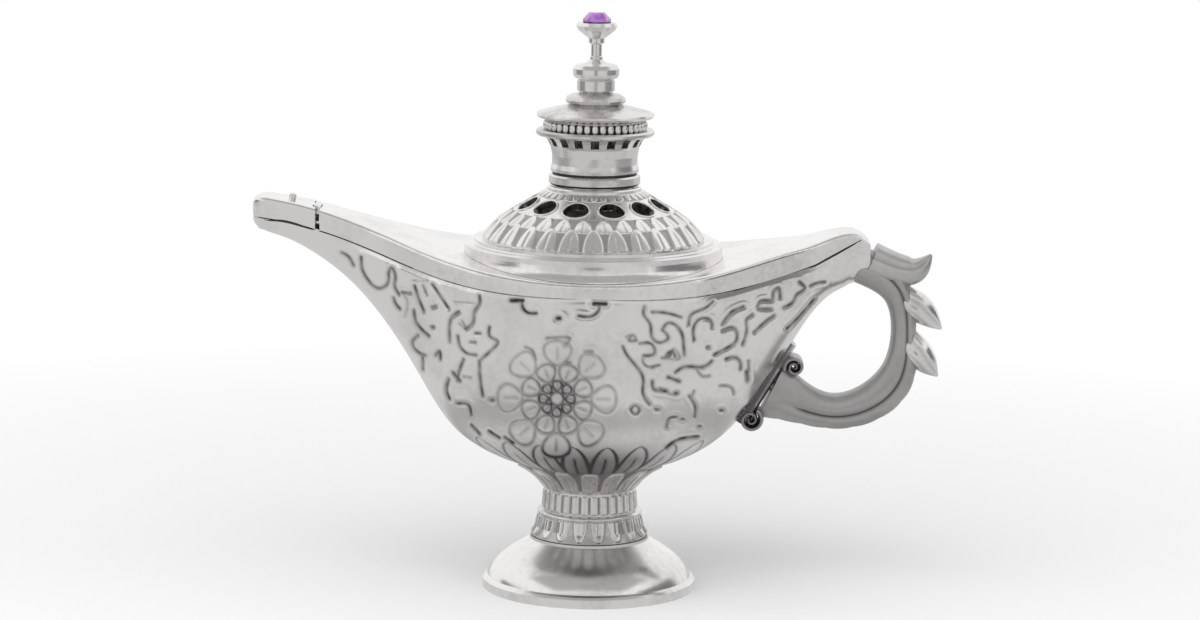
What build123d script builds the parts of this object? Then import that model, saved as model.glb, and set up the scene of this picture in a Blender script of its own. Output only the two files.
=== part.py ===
"""Genie oil lamp: boat-shaped bowl on a flared foot, lifting cover, pierced dome, lid and spout flap."""
import os
from collections import namedtuple
from math import atan2, cos, hypot, radians, sin

from build123d import *

# Foot, stem collar and leaf cup
FOOT_RADIUS = 25.7
FOOT_RIM_HEIGHT = 2.6
FOOT_HEIGHT = 12.7
FOOT_TOP_RADIUS = 14.4
FOOT_WALL = 2.2
COLLAR_HEIGHT = 11.7
COLLAR_RADIUS = 11.2
COLLAR_FLUTES = 28
COLLAR_FLUTE_RADIUS = 0.8
CUP_HEIGHT = 6.7
CUP_RADIUS = 18.8
CUP_FLOOR = 4.6

# Boat-shaped bowl; every share below is a share of these sizes
BOWL_BEAM = 68.0
BOWL_DEPTH = 49.8
SPOUT_REACH = 81.3
SPOUT_RISE = 15.4
SPOUT_KEEL_RISE = 59.6
TAIL_REACH = 66.0
TAIL_RISE = 8.9
TAIL_KEEL_RISE = 48.2
BOWL_WALL = 1.8
RIM_ROUND = 1.0

# Cover, seam and skirt
SEAM_DROP_MIDDLE = 3.2
SEAM_DROP_END = 5.2
SEAM_GAP = 0.3
SKIRT_DEPTH = 3.2
SKIRT_WALL = 1.2
SKIRT_CLEARANCE = 0.4
SKIRT_SPOUT_SHARE = 0.52
SKIRT_TAIL_SHARE = 0.66
DECK_THICKNESS = 1.8
DECK_HOLE_RADIUS = 24.2

# Spout flap and its hinge
FLAP_LENGTH = 15.2
FLAP_WALL = 1.3
FLAP_JOINT_GAP = 1.1
HINGE_DEPTH = 0.6
KNUCKLE_RADIUS = 1.0
KNUCKLE_WIDTH = 4.0
KNUCKLE_CLEARANCE = 0.25
PIN_RADIUS = 0.45
PIN_CLEARANCE = 0.1
NUB_RADIUS = 0.9
NUB_HEIGHT = 1.7
NUB_SETBACK = 6.0

# Pierced dome on its ring
RING_FOOT_RADIUS = 32.8
RING_HEIGHT = 6.2
RING_TOP_RADIUS = 28.6
DOME_RADIUS = 26.4
DOME_HEIGHT = 11.6
DOME_WALL = 1.5
DOME_OPENINGS = 12
OPENING_WIDTH = 6.3
OPENING_HEIGHT = 5.6
DOME_LEAVES = 28
NECK_RADIUS = 11.2
NECK_BORE = 9.45
NECK_HEIGHT = 1.0

# Lid: drum, pearl ring, cap and finial
LID_GAP = 0.4
SPIGOT_DEPTH = 5.0
SPIGOT_CLEARANCE = 0.35
DRUM_HEIGHT = 13.2
DRUM_RADIUS = 10.5
DRUM_WALL = 1.2
FLANGE_RADIUS = 14.1
FLANGE_HEIGHT = 1.4
DRUM_SLOTS = 18
SLOT_WIDTH = 2.0
SLOT_HEIGHT = 2.0
PEARL_COUNT = 40
PEARL_RADIUS = 0.75
PEARL_HEIGHT = 2.0
PEARL_CIRCLE = 11.7
CAP_RADIUS = 14.0
CAP_HEIGHT = 6.7
CAP_KNOP_RADIUS = 7.2
SPOOL_RADIUS = 5.5
SPOOL_NECK = 4.5
SPOOL_HEIGHT = 7.1
GOBLET_RADIUS = 4.9
GOBLET_HEIGHT = 9.6
STEM_RADIUS = 1.5
TENON_RADIUS = 0.9
JEWEL_RADIUS = 3.4
JEWEL_HEIGHT = 3.2
TIE_RADIUS = 1.4

# Handle
HANDLE_WIDTH = 7.6
HANDLE_DROP = 47.0
HANDLE_SPAN = 13.0
PAD_WIDTH = 8.4
PAD_THICKNESS = 2.6
UPPER_VOLUTE_RADIUS = 2.9
LOWER_VOLUTE_RADIUS = 3.3
SEAT_GAP = 0.05

# Fasteners and wick
BOSS_HEIGHT = 2.0
BOSS_RADIUS = 8.0
WASHER_THICKNESS = 1.0
BOLT_RADIUS = 3.0
BOLT_CLEARANCE = 0.2
HANDLE_SCREW_RADIUS = 1.3
HANDLE_SCREW_HEAD = 2.4
HANDLE_SCREW_LENGTH = 11.0
TUBE_RADIUS = 1.9
TUBE_WALL = 0.45
TUBE_LIFT = 0.6
WICK_CLEARANCE = 0.15
WICK_TIP = 3.2
WICK_TAIL = 9.0

# Hull stations toward the spout: share of reach, half beam, keel rise and sheer rise
SPOUT_STATIONS = (
    (1.0, 0.06, 1.0, 0.88),
    (0.993, 0.11, 0.973, 0.97),
    (0.975, 0.145, 0.955, 1.0),
    (0.93, 0.17, 0.938, 0.98),
    (0.84, 0.205, 0.884, 0.89),
    (0.72, 0.265, 0.767, 0.71),
    (0.60, 0.40, 0.582, 0.51),
    (0.50, 0.565, 0.372, 0.34),
    (0.41, 0.71, 0.188, 0.22),
    (0.33, 0.83, 0.104, 0.14),
    (0.16, 0.965, 0.022, 0.03),
)
# Hull stations toward the handle, from the middle outward
TAIL_STATIONS = (
    (0.20, 0.965, 0.027, 0.035),
    (0.41, 0.81, 0.13, 0.185),
    (0.51, 0.67, 0.237, 0.31),
    (0.61, 0.52, 0.415, 0.465),
    (0.71, 0.38, 0.628, 0.62),
    (0.80, 0.28, 0.82, 0.78),
    (0.90, 0.19, 0.935, 1.0),
    (1.0, 0.135, 1.0, 0.70),
)
SIDE_ANGLES = (10, 22, 35, 48, 62, 76, 90)
SEAM_STATIONS = (2, 4, 6, 8, 10, 12, 14, 17)
TUBE_SHARES = (0.918, 0.818, 0.714, 0.604, 0.467)

# Heights of the stack
collar_base = FOOT_HEIGHT
cup_base = collar_base + COLLAR_HEIGHT
hull_floor = cup_base + CUP_FLOOR
rim_height = hull_floor + BOWL_DEPTH
dome_base = rim_height + RING_HEIGHT
dome_top = dome_base + DOME_HEIGHT
neck_top = dome_top + NECK_HEIGHT
drum_base = neck_top + LID_GAP
drum_top = drum_base + DRUM_HEIGHT
pearl_top = drum_top + PEARL_HEIGHT
cap_top = pearl_top + CAP_HEIGHT
spool_top = cap_top + SPOOL_HEIGHT
goblet_top = spool_top + GOBLET_HEIGHT

Station = namedtuple("Station", "x beam keel sheer share")


def hull_stations():
    """Stations of the outer skin from the spout's nose to the tail."""
    half = BOWL_BEAM / 2
    rows = []
    for share, beam, keel, sheer in SPOUT_STATIONS:
        rows.append(Station(-share * SPOUT_REACH, half * beam, hull_floor + keel * SPOUT_KEEL_RISE,
                            rim_height + sheer * SPOUT_RISE, share))
    rows.append(Station(0.0, half, hull_floor, rim_height, 0.0))
    for share, beam, keel, sheer in TAIL_STATIONS:
        rows.append(Station(share * TAIL_REACH, half * beam, hull_floor + keel * TAIL_KEEL_RISE,
                            rim_height + sheer * TAIL_RISE, share))
    return rows


STATIONS = hull_stations()


def slant(index, field):
    """Length along the hull per length along X where a guide line slopes."""
    before = STATIONS[max(index - 1, 0)]
    after = STATIONS[min(index + 1, len(STATIONS) - 1)]
    return hypot(1.0, (getattr(after, field) - getattr(before, field)) / (after.x - before.x))


def sheer_at(x):
    """Height of the rim's top edge at x, between two stations."""
    for left, right in zip(STATIONS, STATIONS[1:]):
        if left.x <= x <= right.x:
            part_way = (x - left.x) / (right.x - left.x)
            return left.sheer + part_way * (right.sheer - left.sheer)
    raise ValueError("x lies off the hull")


def keel_at(x):
    """Height of the keel line at x, between two stations."""
    for left, right in zip(STATIONS, STATIONS[1:]):
        if left.x <= x <= right.x:
            part_way = (x - left.x) / (right.x - left.x)
            return left.keel + part_way * (right.keel - left.keel)
    raise ValueError("x lies off the hull")


def hull_solid(inset=0.0, top=0.0, corner=0.0, nose=0, tail=0):
    """Loft of rounded U sections, set in by inset, its top raised by top, end stations left off."""
    with BuildPart() as hull:
        for index in range(nose, len(STATIONS) - tail):
            station = STATIONS[index]
            half = station.beam - inset * slant(index, "beam")
            keel = station.keel + inset * slant(index, "keel")
            crown = station.sheer + top
            shoulder = min(crown, station.sheer) - corner
            side_power = 0.66 + 0.29 * station.share
            depth_power = 0.56 + 0.34 * station.share
            side = []
            for angle in SIDE_ANGLES:
                across = half * sin(radians(angle)) ** side_power
                down = (shoulder - keel) * max(cos(radians(angle)), 0.0) ** depth_power
                side.append((across, shoulder - down))
            side[-1] = (half, shoulder)
            mirrored = [(-across, height) for across, height in reversed(side)]
            with BuildSketch(Plane.YZ.offset(station.x)):
                with BuildLine():
                    Spline(*mirrored, (0, keel), *side, tangents=((0, -1), (0, 1)))
                    if corner > 0:
                        RadiusArc((half, shoulder), (half - corner, crown), -corner)
                        Line((half - corner, crown), (corner - half, crown))
                        RadiusArc((corner - half, crown), (-half, shoulder), -corner)
                    elif crown > shoulder:
                        Polyline((half, shoulder), (half, crown), (-half, crown), (-half, shoulder))
                    else:
                        Line((half, shoulder), (-half, shoulder))
                make_face()
        loft()
    return hull.part


def above_seam(rise):
    """Everything above the seam between bowl and cover, the seam raised by rise."""
    seam = []
    for index in SEAM_STATIONS:
        station = STATIONS[index]
        ends = min(1.0, 2 * station.share)
        drop = SEAM_DROP_MIDDLE + (SEAM_DROP_END - SEAM_DROP_MIDDLE) * ends
        seam.append((station.x, station.sheer - drop + rise))
    tail_end = (0.965 * TAIL_REACH, sheer_at(0.965 * TAIL_REACH) + rise)
    nose_end = (-1.1 * SPOUT_REACH, seam[0][1] + 0.6)
    ceiling = 2 * rim_height
    with BuildPart() as region:
        with BuildSketch(Plane.XZ):
            with BuildLine():
                Spline(*seam)
                Polyline(seam[-1], tail_end, (tail_end[0] + 4, ceiling), (nose_end[0], ceiling),
                         nose_end, seam[0])
            make_face()
        extrude(amount=BOWL_BEAM, both=True)
    return region.part


def slab(x_low, x_high):
    """Everything between two heights of X across the whole lamp."""
    with BuildPart() as region:
        with BuildSketch(Plane.YZ.offset(x_low)):
            Rectangle(2 * BOWL_BEAM, 8 * rim_height)
        extrude(amount=x_high - x_low)
    return region.part


def turned(outline):
    """Solid of revolution about the lamp's axis from a closed outline of (radius, height) corners."""
    with BuildPart() as body:
        with BuildSketch(Plane.XZ):
            with BuildLine():
                Polyline(*outline, close=True)
            make_face()
        revolve(axis=Axis.Z)
    return body.part


# Hull skins used by several pieces
outer_skin = hull_solid(corner=RIM_ROUND)
inner_skin = hull_solid(inset=BOWL_WALL, top=8.0, nose=3, tail=1)
seat_skin = hull_solid(inset=-SEAT_GAP, top=SEAT_GAP, corner=RIM_ROUND)
skirt_inset = BOWL_WALL + SKIRT_CLEARANCE
skirt_skin = hull_solid(inset=skirt_inset, top=-DECK_THICKNESS / 2, nose=4, tail=2)
hollow_skin = hull_solid(inset=skirt_inset + SKIRT_WALL, top=-DECK_THICKNESS, nose=4, tail=2)
flap_skin = hull_solid(inset=FLAP_WALL, top=-FLAP_WALL, nose=2, tail=4)
cover_side = above_seam(SEAM_GAP)
bowl_top = above_seam(0.0)
skirt_side = above_seam(-SKIRT_DEPTH)

# Hinge position and the plane that parts flap from cover
hinge_x = FLAP_LENGTH - SPOUT_REACH
hinge_z = sheer_at(hinge_x) - HINGE_DEPTH
flap_end = hinge_x - 0.05
cover_front = flap_end + FLAP_JOINT_GAP
flap_half = KNUCKLE_WIDTH / 2
lug_inner = flap_half + KNUCKLE_CLEARANCE
lug_outer = lug_inner + KNUCKLE_WIDTH / 2

# Foot: ogee bell on a plain rim, hollow below
with BuildPart() as foot:
    with BuildSketch(Plane.XZ):
        with BuildLine():
            Polyline((BOLT_RADIUS + BOLT_CLEARANCE, FOOT_HEIGHT), (FOOT_TOP_RADIUS, FOOT_HEIGHT),
                     (FOOT_TOP_RADIUS, FOOT_HEIGHT - 0.7))
            Spline((FOOT_TOP_RADIUS, FOOT_HEIGHT - 0.7), (FOOT_RADIUS - 6.5, 9.0), (FOOT_RADIUS - 2.6, 5.6),
                   (FOOT_RADIUS - 1.1, FOOT_RIM_HEIGHT + 0.4))
            Polyline((FOOT_RADIUS - 1.1, FOOT_RIM_HEIGHT + 0.4), (FOOT_RADIUS - 0.5, FOOT_RIM_HEIGHT),
                     (FOOT_RADIUS, FOOT_RIM_HEIGHT - 0.5), (FOOT_RADIUS, 0),
                     (FOOT_RADIUS - FOOT_WALL - 1.2, 0), (FOOT_RADIUS - FOOT_WALL - 3.2, 3.6),
                     (FOOT_TOP_RADIUS, FOOT_HEIGHT - 2 * FOOT_WALL),
                     (BOLT_RADIUS + BOLT_CLEARANCE, FOOT_HEIGHT - 2 * FOOT_WALL),
                     (BOLT_RADIUS + BOLT_CLEARANCE, FOOT_HEIGHT))
        make_face()
    revolve(axis=Axis.Z)
foot.part.label = "foot"

# Stem collar: petal band, bead ring and fluted band
petal_top = collar_base + 0.44 * COLLAR_HEIGHT
ring_top = petal_top + 1.2
flute_circle = COLLAR_RADIUS + 0.45
with BuildPart() as stem_collar:
    add(turned([
        (BOLT_RADIUS + BOLT_CLEARANCE, collar_base), (COLLAR_RADIUS + 3.0, collar_base),
        (COLLAR_RADIUS + 1.7, collar_base + 2.2), (COLLAR_RADIUS + 1.0, petal_top),
        (COLLAR_RADIUS + 1.2, petal_top + 0.4), (COLLAR_RADIUS + 1.2, ring_top - 0.4),
        (COLLAR_RADIUS + 0.8, ring_top), (COLLAR_RADIUS, ring_top + 0.2),
        (COLLAR_RADIUS - 0.4, cup_base), (BOLT_RADIUS + BOLT_CLEARANCE, cup_base),
    ]))
    with BuildSketch(Plane.XY.offset(ring_top + 0.7)):
        with PolarLocations(flute_circle, COLLAR_FLUTES):
            Circle(COLLAR_FLUTE_RADIUS)
    extrude(amount=COLLAR_HEIGHT / 3, mode=Mode.SUBTRACT)
stem_collar.part.label = "stem_collar"

# Leaf cup between collar and bowl, hollowed to the bowl's own curve
with BuildPart() as leaf_cup:
    with BuildSketch(Plane.XZ):
        with BuildLine():
            Line((BOLT_RADIUS + BOLT_CLEARANCE, cup_base), (COLLAR_RADIUS - 0.2, cup_base))
            Spline((COLLAR_RADIUS - 0.2, cup_base), (COLLAR_RADIUS + 1.5, cup_base + 0.32 * CUP_HEIGHT),
                   (CUP_RADIUS - 3.7, cup_base + 0.65 * CUP_HEIGHT), (CUP_RADIUS, cup_base + CUP_HEIGHT))
            Polyline((CUP_RADIUS, cup_base + CUP_HEIGHT), (CUP_RADIUS - 2, cup_base + CUP_HEIGHT + 3),
                     (BOLT_RADIUS + BOLT_CLEARANCE, cup_base + CUP_HEIGHT + 3),
                     (BOLT_RADIUS + BOLT_CLEARANCE, cup_base))
        make_face()
    revolve(axis=Axis.Z)
    add(seat_skin, mode=Mode.SUBTRACT)
leaf_cup.part.label = "leaf_cup"

# Handle path, given from the tail's end outward and from the keel downward
handle_top = rim_height + 2.4
handle_x = TAIL_REACH
handle_low = handle_top - 0.795 * HANDLE_DROP
pad_low = (handle_x - 30.6, handle_top - 0.85 * HANDLE_DROP)
pad_high = (handle_x - 19.0, handle_top - 0.43 * HANDLE_DROP)
pad_angle = atan2(pad_high[1] - pad_low[1], pad_high[0] - pad_low[0])
pad_out = (sin(pad_angle), -cos(pad_angle))
pad_middle = ((pad_low[0] + pad_high[0]) / 2, (pad_low[1] + pad_high[1]) / 2)
pad_sink = BOWL_WALL + BOSS_HEIGHT
pad_plane = Plane(origin=(pad_middle[0] - pad_sink * pad_out[0], 0, pad_middle[1] - pad_sink * pad_out[1]),
                  x_dir=(0, 1, 0), z_dir=(pad_out[0], 0, pad_out[1]))
tail_plane = Plane(origin=(STATIONS[-2].x, 0, handle_top - 1.2), x_dir=(0, 1, 0), z_dir=(1, 0, 0))
with BuildLine(Plane.XZ) as handle_path:
    Spline((handle_x - 2.5, handle_top - 1.4),
           (handle_x + 0.5 * HANDLE_SPAN, handle_top - 0.16 * HANDLE_DROP),
           (handle_x + 0.68 * HANDLE_SPAN, handle_top - 0.39 * HANDLE_DROP),
           (handle_x + 0.5 * HANDLE_SPAN, handle_top - 0.64 * HANDLE_DROP),
           (handle_x - 7.0, handle_low), (handle_x - 16.0, handle_low + 2.0),
           (pad_middle[0] + 2.0, pad_middle[1] - 2.2), tangents=((1, -0.2), (-1, 0.5)))
loop = handle_path.line.edge()


def bar(path, sizes, width):
    """Cast bar along a planar path: (share of path, half depth, share of width) ovals joined smoothly."""
    with BuildPart() as casting:
        for place, half_depth, width_share in sizes:
            with BuildSketch(Plane(origin=path @ place, x_dir=(0, 1, 0), z_dir=path % place)):
                Ellipse(width_share * width / 2, half_depth)
        loft()
    return casting.part


def horn(points, root, width):
    """Curled leaf tip: a tapering oval bar along a curve through points."""
    with BuildLine(Plane.XZ) as curve:
        Spline(*points)
    return bar(curve.line.edge(), ((0, root, 0.9), (0.4, 0.9 * root, 0.85), (0.75, 0.62 * root, 0.65),
                                   (1, 0.1 * root, 0.15)), width)


loop_bar = bar(loop, ((0, 4.5, 1.0), (0.165, 3.7, 1.0), (0.33, 3.1, 0.92), (0.52, 4.6, 0.95),
                      (0.68, 4.5, 1.0), (0.8, 4.4, 1.0), (0.9, 5.4, 1.0), (1, 7.4, 1.0)), HANDLE_WIDTH)
thumb_leaf = horn([(handle_x + 0.5, handle_top - 0.4), (handle_x + 6.5, handle_top - 2.6),
                   (handle_x + 11.0, handle_top - 2.8), (handle_x + 14.9, handle_top + 1.0)],
                  4.3, HANDLE_WIDTH)
upper_spine = horn([(handle_x + 7.5, handle_top - 9.0), (handle_x + 11.8, handle_top - 11.6),
                    (handle_x + 15.0, handle_top - 14.4), (handle_x + 17.8, handle_top - 17.0)],
                   3.6, HANDLE_WIDTH)
lower_spine = horn([(handle_x + 9.4, handle_top - 19.4), (handle_x + 12.4, handle_top - 22.8),
                    (handle_x + 14.8, handle_top - 25.8), (handle_x + 17.2, handle_top - 28.5)],
                   3.6, HANDLE_WIDTH)
with BuildPart() as handle:
    add(loop_bar)
    add(thumb_leaf)
    add(upper_spine)
    add(lower_spine)
    with BuildSketch(Plane.XZ):
        with BuildLine():
            Polyline((pad_low[0] - 4, pad_low[1]), pad_low,
                     (pad_low[0] + PAD_THICKNESS * pad_out[0], pad_low[1] + PAD_THICKNESS * pad_out[1]),
                     (pad_high[0] + PAD_THICKNESS * pad_out[0], pad_high[1] + PAD_THICKNESS * pad_out[1]),
                     pad_high, (pad_high[0] - 4, pad_high[1]), close=True)
        make_face()
    extrude(amount=PAD_WIDTH / 2, both=True)
    with BuildSketch(Plane.XZ):
        with Locations((pad_high[0] + 1.6, pad_high[1] - 6.2)):
            Circle(UPPER_VOLUTE_RADIUS)
        with Locations((pad_low[0] + 3.0, pad_low[1] + 0.6)):
            Circle(LOWER_VOLUTE_RADIUS)
    extrude(amount=PAD_WIDTH / 2, both=True)
    add(seat_skin, mode=Mode.SUBTRACT)
    with BuildSketch(pad_plane):
        Circle(HANDLE_SCREW_RADIUS + SEAT_GAP)
    extrude(amount=HANDLE_SCREW_LENGTH, mode=Mode.SUBTRACT)
    with BuildSketch(tail_plane):
        Circle(HANDLE_SCREW_RADIUS + SEAT_GAP)
    extrude(amount=HANDLE_SCREW_LENGTH + 1, mode=Mode.SUBTRACT)
handle.part.label = "handle"

# Bowl: hull below the seam, hollow, with a floor boss and a boss behind the handle's pad
boss_top = hull_floor + BOWL_WALL + BOSS_HEIGHT
with BuildPart() as bowl:
    add(outer_skin)
    add(bowl_top, mode=Mode.SUBTRACT)
    add(inner_skin, mode=Mode.SUBTRACT)
    with BuildSketch(Plane.XY.offset(hull_floor + BOWL_WALL / 2)):
        Circle(BOSS_RADIUS)
    extrude(amount=BOSS_HEIGHT + BOWL_WALL / 2)
    with BuildSketch(Plane.XY.offset(hull_floor - BOWL_WALL)):
        Circle(BOLT_RADIUS + BOLT_CLEARANCE)
    extrude(amount=BOSS_HEIGHT + 3 * BOWL_WALL, mode=Mode.SUBTRACT)
    with BuildSketch(pad_plane):
        Circle(HANDLE_SCREW_HEAD + 1.0)
    extrude(amount=BOSS_HEIGHT + BOWL_WALL / 2)
    with BuildSketch(pad_plane):
        Circle(HANDLE_SCREW_RADIUS + SEAT_GAP)
    extrude(amount=3 * BOSS_HEIGHT, mode=Mode.SUBTRACT)
    with BuildSketch(tail_plane):
        Circle(HANDLE_SCREW_RADIUS + SEAT_GAP)
    extrude(amount=TAIL_REACH, mode=Mode.SUBTRACT)
bowl.part.label = "bowl"

# Bolt, washers and nut that draw foot, collar, cup and bowl together
foot_web = FOOT_HEIGHT - 2 * FOOT_WALL
foot_bolt_head = foot_web - WASHER_THICKNESS
nut_base = boss_top + WASHER_THICKNESS
with BuildPart() as foot_washer:
    with BuildSketch(Plane.XY.offset(foot_bolt_head)):
        Circle(3 * BOLT_RADIUS)
        Circle(BOLT_RADIUS + BOLT_CLEARANCE, mode=Mode.SUBTRACT)
    extrude(amount=WASHER_THICKNESS)
foot_washer.part.label = "foot_washer"

with BuildPart() as foot_bolt:
    with BuildSketch(Plane.XY.offset(foot_bolt_head - 1.2 * BOLT_RADIUS)):
        RegularPolygon(1.8 * BOLT_RADIUS, 6)
    extrude(amount=1.2 * BOLT_RADIUS)
    with BuildSketch(Plane.XY.offset(foot_bolt_head)):
        Circle(BOLT_RADIUS)
    extrude(amount=nut_base + 2.1 * BOLT_RADIUS - foot_bolt_head)
foot_bolt.part.label = "foot_bolt"

with BuildPart() as floor_washer:
    with BuildSketch(Plane.XY.offset(boss_top)):
        Circle(2.4 * BOLT_RADIUS)
        Circle(BOLT_RADIUS + BOLT_CLEARANCE, mode=Mode.SUBTRACT)
    extrude(amount=WASHER_THICKNESS)
floor_washer.part.label = "floor_washer"

with BuildPart() as foot_nut:
    with BuildSketch(Plane.XY.offset(nut_base)):
        RegularPolygon(1.8 * BOLT_RADIUS, 6)
        Circle(BOLT_RADIUS + SEAT_GAP, mode=Mode.SUBTRACT)
    extrude(amount=1.6 * BOLT_RADIUS)
foot_nut.part.label = "foot_nut"

# Two round-headed screws that hold the handle from inside the bowl
with BuildPart() as handle_screws:
    with BuildSketch(pad_plane):
        Circle(HANDLE_SCREW_HEAD)
    extrude(amount=-HANDLE_SCREW_RADIUS)
    with BuildSketch(pad_plane):
        Circle(HANDLE_SCREW_RADIUS)
    extrude(amount=HANDLE_SCREW_LENGTH - 1)
    with BuildSketch(tail_plane):
        Circle(HANDLE_SCREW_HEAD)
    extrude(amount=-HANDLE_SCREW_RADIUS)
    with BuildSketch(tail_plane):
        Circle(HANDLE_SCREW_RADIUS)
    extrude(amount=HANDLE_SCREW_LENGTH)
handle_screws.part.label = "handle_screws"


def trough(x):
    """Height of the wick tube's centre line over the spout's floor at x."""
    slope = (keel_at(x + 3) - keel_at(x - 3)) / 6
    return keel_at(x) + (BOWL_WALL + TUBE_RADIUS + TUBE_LIFT) * hypot(1.0, slope)


def beyond(end, inner, length):
    """Point past the end of a run, on the line from inner to end."""
    run = hypot(end[0] - inner[0], end[1] - inner[1])
    return (end[0] + (end[0] - inner[0]) * length / run, end[1] + (end[1] - inner[1]) * length / run)


# Wick tube bent down the spout, and the wick inside it
knees = [(-share * SPOUT_REACH, trough(-share * SPOUT_REACH)) for share in TUBE_SHARES]
knees[0] = (knees[0][0], knees[0][1] + 0.8)
wick_knees = [beyond(knees[0], knees[1], WICK_TIP), *knees[1:-1], beyond(knees[-1], knees[-2], WICK_TAIL)]
with BuildLine(Plane.XZ) as tube_path:
    FilletPolyline(*knees, radius=12)
with BuildLine(Plane.XZ) as wick_path:
    FilletPolyline(*wick_knees, radius=12)
tube_line = Wire(tube_path.edges())
wick_line = Wire(wick_path.edges())
saddle_x = knees[2][0]
with BuildPart() as saddle_block:
    with BuildSketch(Plane.XZ):
        with Locations((saddle_x, keel_at(saddle_x) + BOWL_WALL + TUBE_RADIUS / 2)):
            Rectangle(2.4, 3 * TUBE_RADIUS)
    extrude(amount=TUBE_RADIUS, both=True)
saddle = saddle_block.part & inner_skin
with BuildPart() as wick_tube:
    with BuildSketch(Plane(origin=tube_line @ 0, x_dir=(0, 1, 0), z_dir=tube_line % 0)):
        Circle(TUBE_RADIUS)
    sweep(path=tube_line)
    add(saddle)
    with BuildSketch(Plane(origin=wick_line @ 0, x_dir=(0, 1, 0), z_dir=wick_line % 0)):
        Circle(TUBE_RADIUS - TUBE_WALL)
    sweep(path=wick_line, mode=Mode.SUBTRACT)
wick_tube.part.label = "wick_tube"

with BuildPart() as wick:
    with BuildSketch(Plane(origin=wick_line @ 0, x_dir=(0, 1, 0), z_dir=wick_line % 0)):
        Circle(TUBE_RADIUS - TUBE_WALL - WICK_CLEARANCE)
    sweep(path=wick_line)
wick.part.label = "wick"

# Cover: rim band and deck from the hull's top, with a skirt inside the bowl's mouth and hinge lugs
cover_length = slab(cover_front, TAIL_REACH)
skirt = skirt_skin & skirt_side & slab(-SKIRT_SPOUT_SHARE * SPOUT_REACH, SKIRT_TAIL_SHARE * TAIL_REACH)
lug_planes = (Plane.XZ.offset(lug_inner), Plane.XZ.offset(-lug_outer))
with BuildPart() as cover:
    add(outer_skin)
    add(cover_side, mode=Mode.INTERSECT)
    add(cover_length, mode=Mode.INTERSECT)
    add(skirt)
    add(hollow_skin, mode=Mode.SUBTRACT)
    with BuildSketch(Plane.XY.offset(hull_floor)):
        Circle(DECK_HOLE_RADIUS)
    extrude(amount=2 * BOWL_DEPTH, mode=Mode.SUBTRACT)
    with BuildSketch(Plane.XZ):
        with Locations((hinge_x, hinge_z)):
            Circle(KNUCKLE_RADIUS + KNUCKLE_CLEARANCE)
    extrude(amount=lug_inner, both=True, mode=Mode.SUBTRACT)
    with BuildSketch(*lug_planes):
        with Locations((hinge_x, hinge_z)):
            Circle(KNUCKLE_RADIUS)
        with Locations((hinge_x + KNUCKLE_RADIUS, hinge_z - KNUCKLE_RADIUS / 2)):
            Rectangle(2 * KNUCKLE_RADIUS, KNUCKLE_RADIUS)
    extrude(amount=lug_outer - lug_inner)
    with BuildSketch(Plane.XZ):
        with Locations((hinge_x, hinge_z)):
            Circle(PIN_RADIUS)
    extrude(amount=BOWL_BEAM, both=True, mode=Mode.SUBTRACT)
cover.part.label = "cover"

with BuildPart() as hinge_pin:
    with BuildSketch(Plane.XZ):
        with Locations((hinge_x, hinge_z)):
            Circle(PIN_RADIUS)
    extrude(amount=lug_outer, both=True)
hinge_pin.part.label = "hinge_pin"

# Spout flap: the nose above the seam, hollow over the wick, with one knuckle between the lugs
nub_x = flap_end - NUB_SETBACK
nub_slope = (sheer_at(nub_x + 1) - sheer_at(nub_x - 1)) / 2
nub_plane = Plane(origin=(nub_x, 0, sheer_at(nub_x) - 0.25), x_dir=(1, 0, nub_slope),
                  z_dir=(-nub_slope, 0, 1))
flap_length = slab(-1.2 * SPOUT_REACH, flap_end)
clear_planes = (Plane.XZ.offset(flap_half), Plane.XZ.offset(-lug_outer - KNUCKLE_CLEARANCE))
with BuildPart() as spout_flap:
    add(outer_skin)
    add(cover_side, mode=Mode.INTERSECT)
    add(flap_length, mode=Mode.INTERSECT)
    add(flap_skin, mode=Mode.SUBTRACT)
    with BuildSketch(*clear_planes):
        with Locations((hinge_x, hinge_z)):
            Circle(KNUCKLE_RADIUS + KNUCKLE_CLEARANCE)
    extrude(amount=lug_outer + KNUCKLE_CLEARANCE - flap_half, mode=Mode.SUBTRACT)
    with BuildSketch(Plane.XZ):
        with Locations((hinge_x, hinge_z)):
            Circle(KNUCKLE_RADIUS)
    extrude(amount=flap_half, both=True)
    with BuildSketch(Plane.XZ):
        with Locations((hinge_x, hinge_z)):
            Circle(PIN_RADIUS + PIN_CLEARANCE)
    extrude(amount=flap_half, both=True, mode=Mode.SUBTRACT)
    with BuildSketch(nub_plane):
        Circle(NUB_RADIUS)
    extrude(amount=NUB_HEIGHT, mode=Mode.SUBTRACT)
spout_flap.part.label = "spout_flap"

with BuildPart() as flap_nub:
    with BuildSketch(nub_plane):
        Circle(NUB_RADIUS)
    extrude(amount=NUB_HEIGHT)
    fillet(flap_nub.edges().group_by(Axis.Z)[-1], radius=0.5)
flap_nub.part.label = "flap_nub"

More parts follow.
